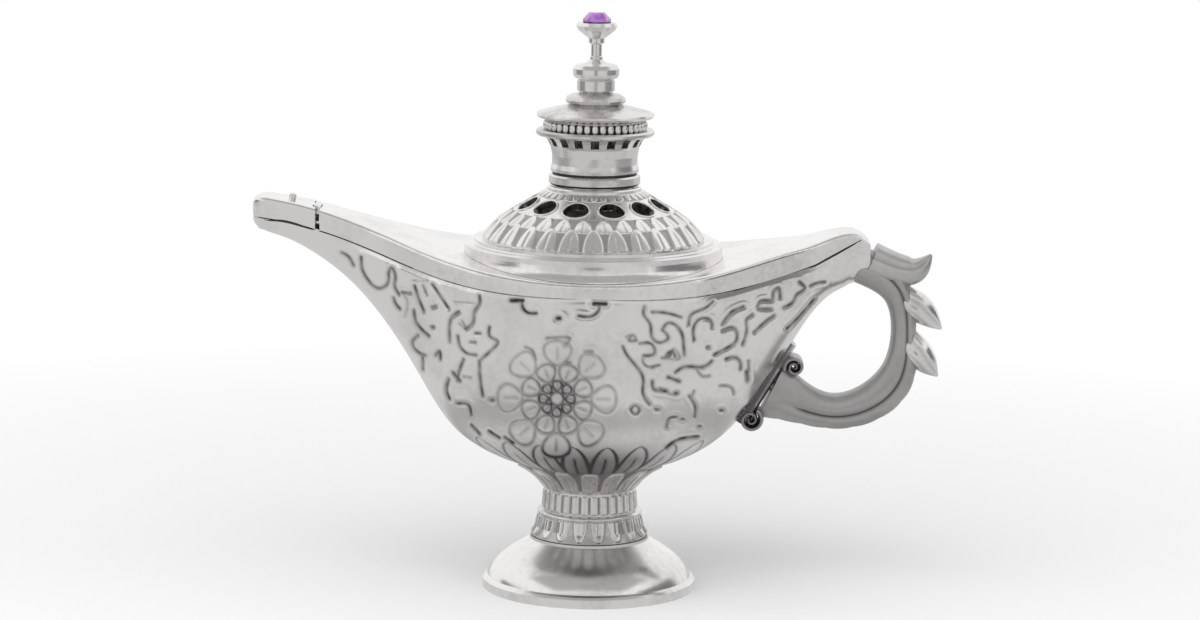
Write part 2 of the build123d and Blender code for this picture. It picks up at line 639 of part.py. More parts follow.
# Moulded ring under the dome, its foot cut to the deck
with BuildPart() as dome_ring:
    with BuildSketch(Plane.XZ):
        with BuildLine():
            Polyline((DECK_HOLE_RADIUS, rim_height - 2), (RING_FOOT_RADIUS, rim_height - 2),
                     (RING_FOOT_RADIUS, rim_height))
            Spline((RING_FOOT_RADIUS, rim_height), (RING_FOOT_RADIUS - 1.5, rim_height + 1.6),
                   (RING_TOP_RADIUS + 2.2, dome_base - 2.6))
            Polyline((RING_TOP_RADIUS + 2.2, dome_base - 2.6), (RING_TOP_RADIUS + 2.2, dome_base - 1.4),
                     (RING_TOP_RADIUS + 1.8, dome_base - 1.0), (RING_TOP_RADIUS + 0.3, dome_base - 1.0),
                     (RING_TOP_RADIUS, dome_base - 0.7), (RING_TOP_RADIUS, dome_base),
                     (DECK_HOLE_RADIUS, dome_base), (DECK_HOLE_RADIUS, rim_height - 2))
        make_face()
    revolve(axis=Axis.Z)
    add(seat_skin, mode=Mode.SUBTRACT)
dome_ring.part.label = "dome_ring"

# Dome: bell shell with oval openings and a band of leaves round its foot
opening_circle = (DOME_RADIUS + NECK_RADIUS) / 2 - 2.6
opening_z = dome_base + 0.72 * DOME_HEIGHT
opening_planes = []
for index in range(DOME_OPENINGS):
    turn = radians((index + 0.5) * 360 / DOME_OPENINGS)
    opening_planes.append(Plane(origin=(opening_circle * cos(turn), opening_circle * sin(turn), opening_z),
                                x_dir=(-sin(turn), cos(turn), 0),
                                z_dir=(0.5 * cos(turn), 0.5 * sin(turn), 0.87)))
leaf_planes = []
for index in range(DOME_LEAVES):
    turn = radians(index * 360 / DOME_LEAVES)
    leaf_planes.append(Plane(origin=(DOME_RADIUS * cos(turn), DOME_RADIUS * sin(turn), dome_base),
                             x_dir=(-sin(turn), cos(turn), 0),
                             z_dir=(-0.62 * cos(turn), -0.62 * sin(turn), 0.78)))
with BuildPart() as dome:
    with BuildSketch(Plane.XZ):
        with BuildLine():
            Spline((DOME_RADIUS, dome_base), (DOME_RADIUS - 1.8, dome_base + 2.3),
                   (DOME_RADIUS - 4.4, dome_base + 4.8),
                   ((DOME_RADIUS + NECK_RADIUS) / 2 - 1.7, dome_base + 8.0), (NECK_RADIUS, dome_top))
            Polyline((NECK_RADIUS, dome_top), (NECK_BORE + 1.0, dome_top),
                     (NECK_BORE + 1.0, dome_top - DOME_WALL))
            Spline((NECK_BORE + 1.0, dome_top - DOME_WALL),
                   ((DOME_RADIUS + NECK_RADIUS) / 2 - 2.3, dome_base + 8.0 - DOME_WALL),
                   (DOME_RADIUS - 5.6, dome_base + 4.8 - DOME_WALL / 2), (DOME_RADIUS - 3.3, dome_base + 2.2),
                   (DOME_RADIUS - 1.2 * DOME_WALL, dome_base))
            Line((DOME_RADIUS - 1.2 * DOME_WALL, dome_base), (DOME_RADIUS, dome_base))
        make_face()
    revolve(axis=Axis.Z)
    with BuildSketch(*opening_planes):
        Ellipse(OPENING_WIDTH / 2, OPENING_HEIGHT / 2)
    extrude(amount=3 * DOME_WALL, both=True, mode=Mode.SUBTRACT)
    with BuildSketch(*leaf_planes):
        Circle(0.45)
    extrude(amount=6.2, mode=Mode.SUBTRACT)
dome.part.label = "dome"

# Neck collar that the lid plugs into
with BuildPart() as dome_collar:
    add(turned([
        (NECK_BORE, dome_top - 2.4), (NECK_BORE + 0.95, dome_top - 2.4), (NECK_BORE + 0.95, dome_top),
        (NECK_RADIUS, dome_top), (NECK_RADIUS, neck_top - 0.3), (NECK_RADIUS - 0.3, neck_top),
        (NECK_BORE, neck_top),
    ]))
dome_collar.part.label = "dome_collar"

# Lid drum: waisted chimney with slots under its flange, a spigot below and a three-armed spider
spigot_radius = NECK_BORE - SPIGOT_CLEARANCE
drum_bore = DRUM_RADIUS - DRUM_WALL
spigot_bore = spigot_radius - 1.3
spider_top = drum_base - 0.6
spider_base = spider_top - 1.8
slot_z = drum_top - FLANGE_HEIGHT - 0.3 - SLOT_HEIGHT / 2
slot_planes = []
for index in range(DRUM_SLOTS):
    turn = radians((index + 0.5) * 360 / DRUM_SLOTS)
    slot_planes.append(Plane(origin=(0.7 * DRUM_RADIUS * cos(turn), 0.7 * DRUM_RADIUS * sin(turn), slot_z),
                             x_dir=(-sin(turn), cos(turn), 0), z_dir=(cos(turn), sin(turn), 0)))
with BuildPart() as lid_drum:
    add(turned([
        (spigot_bore, neck_top - SPIGOT_DEPTH), (spigot_radius, neck_top - SPIGOT_DEPTH),
        (spigot_radius, drum_base), (DRUM_RADIUS - 0.1, drum_base), (DRUM_RADIUS + 0.4, drum_base + 0.5),
        (DRUM_RADIUS + 0.4, drum_base + 2.1), (DRUM_RADIUS, drum_base + 2.5),
        (DRUM_RADIUS - 0.5, drum_base + 2.6), (DRUM_RADIUS - 0.5, drum_base + 3.1),
        (DRUM_RADIUS, drum_base + 3.2), (DRUM_RADIUS, drum_base + 3.9),
        (DRUM_RADIUS - 0.3, drum_base + 5.0), (DRUM_RADIUS - 0.3, drum_base + 7.0),
        (DRUM_RADIUS + 0.1, drum_base + 9.0), (DRUM_RADIUS + 0.8, drum_top - FLANGE_HEIGHT - 1.2),
        (DRUM_RADIUS + 1.5, drum_top - FLANGE_HEIGHT - 0.4), (FLANGE_RADIUS - 0.4, drum_top - FLANGE_HEIGHT),
        (FLANGE_RADIUS, drum_top - FLANGE_HEIGHT + 0.4), (FLANGE_RADIUS, drum_top - 0.4),
        (FLANGE_RADIUS - 0.4, drum_top), (drum_bore, drum_top), (drum_bore, drum_base + 1.4),
        (spigot_bore, drum_base + 0.4),
    ]))
    with BuildSketch(*slot_planes):
        Rectangle(SLOT_WIDTH, SLOT_HEIGHT)
    extrude(amount=0.6 * DRUM_RADIUS, mode=Mode.SUBTRACT)
    with BuildSketch(Plane.XY.offset(spider_base)):
        Circle(2.4 * TIE_RADIUS)
        with PolarLocations(spigot_radius / 2, 3):
            Rectangle(spigot_radius - 0.8, 2.0)
        Circle(TIE_RADIUS + 0.1, mode=Mode.SUBTRACT)
    extrude(amount=spider_top - spider_base)
lid_drum.part.label = "lid_drum"

# Pearl ring standing on the drum's flange
with BuildPart() as pearl_ring:
    with BuildSketch(Plane.XY.offset(drum_top)):
        Circle(PEARL_CIRCLE - 0.4)
        with PolarLocations(PEARL_CIRCLE, PEARL_COUNT):
            Circle(PEARL_RADIUS)
        Circle(drum_bore, mode=Mode.SUBTRACT)
    extrude(amount=PEARL_HEIGHT)
pearl_ring.part.label = "pearl_ring"

# Stepped cap with its knop
with BuildPart() as lid_cap:
    add(turned([
        (drum_bore, pearl_top), (CAP_RADIUS - 2.2, pearl_top), (CAP_RADIUS - 1.9, pearl_top + 0.4),
        (CAP_RADIUS - 0.3, pearl_top + 0.9), (CAP_RADIUS, pearl_top + 1.4),
        (CAP_RADIUS - 0.2, pearl_top + 1.9), (CAP_RADIUS - 1.4, pearl_top + 2.3),
        (CAP_RADIUS - 4.0, pearl_top + 3.0),
        (CAP_KNOP_RADIUS - 0.4, pearl_top + 3.8), (CAP_KNOP_RADIUS - 0.9, cap_top - 2.6),
        (CAP_KNOP_RADIUS - 0.2, cap_top - 2.3), (CAP_KNOP_RADIUS, cap_top - 1.7),
        (CAP_KNOP_RADIUS - 0.3, cap_top - 1.0), (CAP_KNOP_RADIUS - 1.2, cap_top - 0.5),
        (SPOOL_NECK - 0.6, cap_top), (TIE_RADIUS + 0.1, cap_top),
        (TIE_RADIUS + 0.1, pearl_top + 2.6), (drum_bore, pearl_top + 1.4),
    ]))
lid_cap.part.label = "lid_cap"

# Finial: spool, goblet with its stem, and the jewel
with BuildPart() as finial_spool:
    add(turned([
        (TIE_RADIUS + SEAT_GAP, cap_top), (SPOOL_NECK - 0.7, cap_top), (SPOOL_NECK, cap_top + 0.6),
        (SPOOL_NECK, cap_top + 2.9), (SPOOL_NECK - 0.3, cap_top + 3.2), (SPOOL_RADIUS - 0.3, cap_top + 3.7),
        (SPOOL_RADIUS, cap_top + 4.5), (SPOOL_RADIUS, spool_top - 1.4), (SPOOL_RADIUS - 0.6, spool_top - 0.5),
        (SPOOL_NECK - 1.6, spool_top), (TENON_RADIUS + SEAT_GAP, spool_top),
        (TENON_RADIUS + SEAT_GAP, spool_top - 2.4), (0, spool_top - 2.4), (0, cap_top + 3.4),
        (TIE_RADIUS + SEAT_GAP, cap_top + 3.4),
    ]))
finial_spool.part.label = "finial_spool"

with BuildPart() as finial_goblet:
    add(turned([
        (0, spool_top - 2.2), (TENON_RADIUS, spool_top - 2.2), (TENON_RADIUS, spool_top), (2.4, spool_top),
        (STEM_RADIUS + 0.4, spool_top + 0.5), (STEM_RADIUS, spool_top + 0.8), (STEM_RADIUS, spool_top + 1.4),
        (STEM_RADIUS - 0.2, spool_top + 1.6), (STEM_RADIUS - 0.2, goblet_top - 5.2),
        (STEM_RADIUS + 0.4, goblet_top - 4.8), (STEM_RADIUS + 0.4, goblet_top - 3.8),
        (GOBLET_RADIUS - 1.7, goblet_top - 2.8), (GOBLET_RADIUS - 0.5, goblet_top - 1.8),
        (GOBLET_RADIUS, goblet_top - 0.8), (GOBLET_RADIUS - 0.3, goblet_top), (JEWEL_RADIUS, goblet_top),
        (JEWEL_RADIUS, goblet_top - 1.2), (0, goblet_top - 1.2),
    ]))
finial_goblet.part.label = "finial_goblet"

with BuildPart() as jewel:
    for height, radius in ((-1.2, 0.66), (0.3, 0.98), (0.8, 0.98), (JEWEL_HEIGHT - 0.8, 0.52)):
        with BuildSketch(Plane.XY.offset(goblet_top + height)):
            RegularPolygon(radius * JEWEL_RADIUS, 8)
    loft(ruled=True)
jewel.part.label = "jewel"

# Tie rod, washer and nut that draw the lid's stack together
tie_washer_base = spider_base - 0.6
tie_nut_base = tie_washer_base - 1.6
with BuildPart() as tie_rod:
    with BuildSketch(Plane.XY.offset(tie_nut_base - 0.6)):
        Circle(TIE_RADIUS)
    extrude(amount=cap_top + 3.2 - tie_nut_base + 0.6)
tie_rod.part.label = "tie_rod"

with BuildPart() as tie_washer:
    with BuildSketch(Plane.XY.offset(tie_washer_base)):
        Circle(2.3 * TIE_RADIUS)
        Circle(TIE_RADIUS + 0.1, mode=Mode.SUBTRACT)
    extrude(amount=0.6)
tie_washer.part.label = "tie_washer"

with BuildPart() as tie_nut:
    with BuildSketch(Plane.XY.offset(tie_nut_base)):
        RegularPolygon(2.1 * TIE_RADIUS, 6)
        Circle(TIE_RADIUS + SEAT_GAP, mode=Mode.SUBTRACT)
    extrude(amount=1.6)
tie_nut.part.label = "tie_nut"

os.makedirs("parts", exist_ok=True)
for piece in (foot, stem_collar, leaf_cup, bowl, handle, handle_screws, foot_bolt, foot_washer, floor_washer,
              foot_nut, wick_tube, wick, cover, dome_ring, dome, dome_collar, hinge_pin, spout_flap, flap_nub,
              lid_drum, pearl_ring, lid_cap, finial_spool, finial_goblet, jewel, tie_rod, tie_washer,
              tie_nut):
    export_step(piece.part, "parts/" + piece.part.label + ".step")
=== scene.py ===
"""Genie oil lamp dressed for rendering: engraved silver, cast relief, a braided wick and studio light."""

import logging
import math
from collections.abc import Mapping, Sequence
from dataclasses import dataclass, field
from enum import Enum

import bpy
import numpy as np
from mathutils import Matrix, Vector


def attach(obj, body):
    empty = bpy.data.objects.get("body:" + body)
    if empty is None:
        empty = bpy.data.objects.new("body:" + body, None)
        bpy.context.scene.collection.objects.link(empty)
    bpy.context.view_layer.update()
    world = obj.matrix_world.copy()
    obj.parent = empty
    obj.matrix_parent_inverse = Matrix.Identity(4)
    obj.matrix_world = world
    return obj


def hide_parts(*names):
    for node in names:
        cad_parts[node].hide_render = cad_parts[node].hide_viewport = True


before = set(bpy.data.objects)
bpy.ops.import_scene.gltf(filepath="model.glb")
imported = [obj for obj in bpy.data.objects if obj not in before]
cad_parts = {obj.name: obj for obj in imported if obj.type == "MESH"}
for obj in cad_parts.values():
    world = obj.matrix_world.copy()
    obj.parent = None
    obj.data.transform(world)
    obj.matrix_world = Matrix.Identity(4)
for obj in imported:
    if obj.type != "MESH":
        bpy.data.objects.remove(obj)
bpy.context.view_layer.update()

log = logging.getLogger("lamp")

Colour = tuple[float, float, float]
Point = tuple[float, float]
Place = tuple[float, float, float]
Station = tuple[float, float, float, float]

MILLIMETRE = 0.001
SMALL = 1e-6
TINY = 1e-9
PATINA_AND_SHADE = "patina_and_shade"
BLACK = (0.0, 0.0, 0.0, 1.0)
WHITE = (1.0, 1.0, 1.0, 1.0)
DULL = {"Roughness": 1.0, "Specular IOR Level": 0.0}
ACROSS = np.array([0.0, 1.0, 0.0])
UP = np.array([0.0, 0.0, 1.0])
# Where the photograph's eye stands, in millimetres
EYE: Place = (1.8, -900.0, 214.5)


class Body(Enum):
    """The bodies that pieces ride on."""

    LAMP = "lamp_body"
    COVER = "cover"
    FLAP = "spout_flap"
    LID = "lid"


class Slot(Enum):
    """The record's material slots."""

    SILVER = "silver"
    DARK_SILVER = "dark_silver"
    STEEL = "steel"
    BRASS = "brass"
    COTTON = "cotton"
    GEM = "gem"


class Wire:
    """A shader socket that takes part in arithmetic, where each operation adds one Math node."""

    def __init__(self, graph: "Graph", socket: bpy.types.NodeSocket) -> None:
        """Keep the graph that the socket belongs to."""
        self.graph = graph
        self.socket = socket

    def _math(self, operation: str, first: "Wire | float", second: "Wire | float") -> "Wire":
        """Join two values with a Math node."""
        return self.graph.node("ShaderNodeMath", {"operation": operation}, {0: first, 1: second})

    def __add__(self, other: "Wire | float") -> "Wire":
        """Sum."""
        return self._math("ADD", self, other)

    def __radd__(self, other: float) -> "Wire":
        """Sum with a number on the left."""
        return self._math("ADD", other, self)

    def __sub__(self, other: "Wire | float") -> "Wire":
        """Difference."""
        return self._math("SUBTRACT", self, other)

    def __rsub__(self, other: float) -> "Wire":
        """Difference from a number on the left."""
        return self._math("SUBTRACT", other, self)

    def __mul__(self, other: "Wire | float") -> "Wire":
        """Product."""
        return self._math("MULTIPLY", self, other)

    def __truediv__(self, other: "Wire | float") -> "Wire":
        """Quotient."""
        return self._math("DIVIDE", self, other)

    def clamped(self, low: float = 0.0, high: float = 1.0) -> "Wire":
        """Hold the value between two numbers."""
        return self._math("MAXIMUM", self._math("MINIMUM", self, high), low)


class Graph:
    """The node tree of one material or of the world."""

    def __init__(self, tree: bpy.types.NodeTree) -> None:
        """Start from an empty tree."""
        self.tree = tree
        tree.nodes.clear()

    def node(
        self,
        kind: str,
        settings: Mapping[str, object] | None = None,
        inputs: Mapping[int | str, object] | None = None,
        out: int | str = 0,
    ) -> Wire | None:
        """Add a node.

        Args:
            kind: Blender's type name of the node.
            settings: Attributes, set before the sockets.
            inputs: Socket values, or wires to link.
            out: The output that is handed back.

        Returns:
            The chosen output, or None for a node that has none.
        """
        made = self.tree.nodes.new(kind)
        for name, value in (settings or {}).items():
            setattr(made, name, value)
        for name, value in (inputs or {}).items():
            if isinstance(value, Wire):
                self.tree.links.new(value.socket, made.inputs[name])
            else:
                made.inputs[name].default_value = value
        return Wire(self, made.outputs[out]) if len(made.outputs) else None

    def noise(self, place: Wire, scale: float, detail: float = 3.0) -> Wire:
        """Cloudy values from 0 to 1, with scale spots to the metre."""
        return self.node("ShaderNodeTexNoise", {}, {"Vector": place, "Scale": scale, "Detail": detail})

    def stretched(self, place: Wire, factors: Colour) -> Wire:
        """Coordinates scaled along each axis."""
        return self.node("ShaderNodeVectorMath", {"operation": "MULTIPLY"}, {0: place, 1: factors})

    def mixed(self, share: Wire, first: "Wire | Colour", second: "Wire | Colour") -> Wire:
        """Blend two colours, the second one taking the share."""
        ends = [value if isinstance(value, Wire) else (*value, 1.0) for value in (first, second)]
        return self.node("ShaderNodeMix", {"data_type": "RGBA"}, {0: share, 6: ends[0], 7: ends[1]}, out=2)

    def place(self) -> Wire:
        """Each point's place on its object, in metres."""
        return self.node("ShaderNodeTexCoord", out="Object")

    def bump(self, strength: float, distance: float, height: Wire) -> Wire:
        """A normal that follows fine relief, its distance in metres."""
        inputs = {"Strength": strength, "Distance": distance, "Height": height}
        return self.node("ShaderNodeBump", {}, inputs)

    def principled(self, inputs: Mapping[int | str, object]) -> Wire:
        """A Principled shader with these socket values and wires."""
        return self.node("ShaderNodeBsdfPrincipled", {}, inputs)

    def glow(self, colour: Wire) -> Wire:
        """A shader that gives off light of a colour and reflects none."""
        return self.principled(
            {"Base Color": BLACK, "Emission Color": colour, "Emission Strength": 1.0, **DULL}
        )

    def finish(self, shader: Wire, kind: str = "ShaderNodeOutputMaterial") -> None:
        """End the tree with its surface shader."""
        self.node(kind, {}, {"Surface": shader})


def new_graph(name: str) -> tuple[bpy.types.Material, Graph]:
    """A new material and its empty graph."""
    material = bpy.data.materials.new(name)
    material.use_nodes = True
    return material, Graph(material.node_tree)


@dataclass(frozen=True)
class MetalFinish:
    """A metal with cloudy tarnish, rubbed grain and darkened recesses; scales count spots to the metre."""

    name: str
    bright: Colour
    dull: Colour
    recess: Colour
    roughness: float
    spread: float
    stain: float
    cloud_scale: float = 70.0
    speck_scale: float = 630.0
    grain_scale: float = 1400.0
    grain_stretch: Colour = (0.25, 1.0, 1.0)
    grain_strength: float = 0.35
    grain_height: float = 0.00002
    # Shares of clouds and specks in the tarnish, what stays clean of it, and how sharply it sets in
    cloud_share: float = 1.4
    speck_share: float = 0.6
    clean_share: float = 0.9
    onset: float = 2.2
    # How much tarnish and recesses roughen the metal, and how much of its metal look a recess loses
    tarnish_roughness: float = 0.12
    recess_roughness: float = 0.25
    recess_dulling: float = 0.35
    roughness_limits: Point = (0.04, 0.9)

    def material(self) -> bpy.types.Material:
        """Build the material.

        Returns:
            A Principled metal whose tarnish clouds dull the colour and the gloss, whose fine rubbed grain
            is a bump, and whose patina_and_shade attribute darkens recesses with patina and other places
            with painted shade.
        """
        material, graph = new_graph(self.name)
        place = graph.place()
        clouds = graph.noise(place, self.cloud_scale, detail=5.0)
        specks = graph.noise(place, self.speck_scale)
        rubbed = graph.noise(graph.stretched(place, self.grain_stretch), self.grain_scale, detail=2.0)
        # One attribute holds both the patina in hollows and painted shade
        recess = graph.node("ShaderNodeAttribute", {"attribute_name": PATINA_AND_SHADE}, out="Fac")
        stains = clouds * self.cloud_share + specks * self.speck_share - self.clean_share
        tarnish = (stains * self.onset).clamped() * self.stain
        plate = graph.mixed(tarnish, self.bright, self.dull)
        roughness = self.roughness + (specks - 0.5) * self.spread
        roughness = roughness + tarnish * self.tarnish_roughness + recess * self.recess_roughness
        shader = graph.principled(
            {
                "Base Color": graph.mixed(recess.clamped(), plate, self.recess),
                "Metallic": 1.0 - recess.clamped() * self.recess_dulling,
                "Roughness": roughness.clamped(*self.roughness_limits),
                "Normal": graph.bump(self.grain_strength, self.grain_height, rubbed + specks),
            }
        )
        graph.finish(shader)
        return material


@dataclass(frozen=True)
class ClothFinish:
    """Cotton yarn, soiled by lamp oil and charred at the spout's end."""

    name: str
    clean: Colour
    oily: Colour
    char: Colour
    char_from: float
    char_to: float
    cloud_scale: float = 500.0
    fibre_scale: float = 5000.0
    fibre_strength: float = 0.6
    fibre_height: float = 0.0001
    ragged: float = 0.6
    roughness: float = 0.8
    spread: float = 0.2

    def material(self) -> bpy.types.Material:
        """Build the material.

        Returns:
            Rough yarn whose colour runs from oily to charred along X, with a fibre bump.
        """
        material, graph = new_graph(self.name)
        place = graph.place()
        along = graph.node("ShaderNodeSeparateXYZ", {}, {0: place})
        clouds = graph.noise(place, self.cloud_scale, detail=4.0)
        fibres = graph.noise(place, self.fibre_scale, detail=2.0)
        burnt = (along - self.char_from) / (self.char_to - self.char_from)
        charred = (burnt + (clouds - 0.5) * self.ragged).clamped()
        yarn = graph.mixed(clouds, self.clean, self.oily)
        shader = graph.principled(
            {
                "Base Color": graph.mixed(charred, yarn, self.char),
                "Roughness": self.roughness + fibres * self.spread,
                "Normal": graph.bump(self.fibre_strength, self.fibre_height, fibres),
            }
        )
        graph.finish(shader)
        return material


@dataclass(frozen=True)
class GemFinish:
    """A cut violet stone, slightly cloudy inside."""

    name: str
    deep: Colour
    pale: Colour
    index: float
    cloud_scale: float = 450.0
    cloud_start: float = 0.35
    onset: float = 2.5
    mark_scale: float = 3000.0
    mark_strength: float = 0.1
    mark_height: float = 0.00002
    roughness: float = 0.05
    spread: float = 0.06
    clear: float = 0.35
    coat: float = 0.6

    def material(self) -> bpy.types.Material:
        """Build the material.

        Returns:
            A clear Principled stone with cloudy colour and a few polishing marks.
        """
        material, graph = new_graph(self.name)
        place = graph.place()
        clouds = graph.noise(place, self.cloud_scale)
        marks = graph.noise(place, self.mark_scale, detail=2.0)
        pale = ((clouds - self.cloud_start) * self.onset).clamped()
        shader = graph.principled(
            {
                "Base Color": graph.mixed(pale, self.deep, self.pale),
                "Roughness": self.roughness + marks * self.spread,
                "IOR": self.index,
                "Transmission Weight": self.clear,
                "Coat Weight": self.coat,
                "Normal": graph.bump(self.mark_strength, self.mark_height, marks),
            }
        )
        graph.finish(shader)
        return material


FINISHES: dict[Slot, MetalFinish | ClothFinish | GemFinish] = {
    Slot.SILVER: MetalFinish(
        "silver_plate", (0.84, 0.825, 0.815), (0.62, 0.605, 0.595), (0.035, 0.032, 0.031), 0.2, 0.1, 0.55
    ),
    Slot.DARK_SILVER: MetalFinish(
        "antique_silver", (0.76, 0.745, 0.735), (0.42, 0.41, 0.4), (0.035, 0.032, 0.031), 0.24, 0.12, 0.7
    ),
    Slot.STEEL: MetalFinish(
        "plain_steel", (0.5, 0.5, 0.51), (0.3, 0.29, 0.28), (0.05, 0.05, 0.05), 0.3, 0.15, 0.6
    ),
    Slot.BRASS: MetalFinish(
        "aged_brass", (0.68, 0.5, 0.24), (0.35, 0.24, 0.12), (0.06, 0.04, 0.02), 0.28, 0.15, 0.8
    ),
    Slot.COTTON: ClothFinish(
        "wick_cotton", (0.72, 0.68, 0.58), (0.55, 0.47, 0.33), (0.03, 0.026, 0.022), -0.0715, -0.0755
    ),
    Slot.GEM: GemFinish("violet_stone", (0.36, 0.1, 0.52), (0.72, 0.42, 0.88), 1.72),
}


class Palette:
    """The built materials, one to a slot."""

    def __init__(self) -> None:
        """Build every finish once."""
        self.materials = {slot: finish.material() for slot, finish in FINISHES.items()}

    def dress(self, slot: Slot, nodes: Sequence[str]) -> None:
        """Give CAD nodes a slot's material.

        Args:
            slot: The slot that the nodes belong to.
            nodes: Names of the nodes.
        """
        for name in nodes:
            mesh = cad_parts[name].data
            mesh.materials.clear()
            mesh.materials.append(self.materials[slot])
            log.info("%s dressed with %s", name, self.materials[slot].name)


def placed(name: str, data: bpy.types.ID) -> bpy.types.Object:
    """A new object in the scene that shows the data."""
    made = bpy.data.objects.new(name, data)
    bpy.context.scene.collection.objects.link(made)
    return made


def circle(count: int) -> np.ndarray:
    """Angles spaced evenly round a circle, in radians."""
    return 2 * np.pi * np.arange(count) / count


def unit(rows: np.ndarray) -> np.ndarray:
    """Arrows brought to a length of one."""
    return rows / np.linalg.norm(rows, axis=-1, keepdims=True)


def bell(value: np.ndarray, width: float) -> np.ndarray:
    """A bell-shaped rise: 1 at zero, fading over the width."""
    return np.exp(-((value / width) ** 2))


def squared(value: np.ndarray, power: float) -> np.ndarray:
    """A power of the value's size with its sign kept, which squares off a round section when under one."""
    return np.sign(value) * np.abs(value) ** power


def smooth_step(value: np.ndarray, low: float, high: float) -> np.ndarray:
    """A soft step from 0 at low to 1 at high."""
    share = np.clip((value - low) / (high - low), 0.0, 1.0)
    return share * share * (3 - 2 * share)


def fade_in(value: np.ndarray, width: float) -> np.ndarray:
    """A soft step from 0 at zero to 1 at the width."""
    return smooth_step(value, 0.0, width)


def run_along(points: np.ndarray) -> np.ndarray:
    """Length along a path of chords, from 0 at its first point."""
    return np.concatenate([[0.0], np.cumsum(np.linalg.norm(np.diff(points, axis=0), axis=1))])


class SmoothLine:
    """A curve through a few values whose bend runs evenly from each to the next (a natural cubic)."""

    def __init__(self, places: Sequence[float], values: Sequence) -> None:
        """Solve for the bend at each value.

        Args:
            places: Rising positions of the values.
            values: One number, or one row of numbers, at each place.
        """
        self.places = np.asarray(places, float)
        self.values = np.asarray(values, float).reshape(len(self.places), -1)
        steps = np.diff(self.places)
        slopes = np.diff(self.values, axis=0) / steps[:, None]
        inner = np.arange(1, len(self.places) - 1)
        system = np.eye(len(self.places))
        system[inner, inner - 1] = steps[:-1]
        system[inner, inner] = 2 * (steps[:-1] + steps[1:])
        system[inner, inner + 1] = steps[1:]
        pull = np.zeros_like(self.values)
        pull[inner] = 6 * (slopes[1:] - slopes[:-1])
        self.bends = np.linalg.solve(system, pull)

    def __call__(self, place: np.ndarray | float) -> np.ndarray:
        """The curve's value, or row of values, at each place."""
        place = np.asarray(place, float)
        index = np.clip(np.searchsorted(self.places, place) - 1, 0, len(self.places) - 2)
        step = (self.places[index + 1] - self.places[index])[..., None]
        late = (place - self.places[index])[..., None] / step
        early = 1.0 - late
        value = early * self.values[index] + late * self.values[index + 1]
        pull = (early**3 - early) * self.bends[index] + (late**3 - late) * self.bends[index + 1]
        value = value + pull * step**2 / 6
        return value[..., 0] if self.values.shape[1] == 1 else value

    @classmethod
    def through(cls, points: Sequence[Point]) -> "SmoothLine":
        """A plane curve through points, run from 0 to 1 by the length of its chords."""
        rows = np.asarray(points, float)
        run = run_along(rows)
        return cls(run / run[-1], rows)


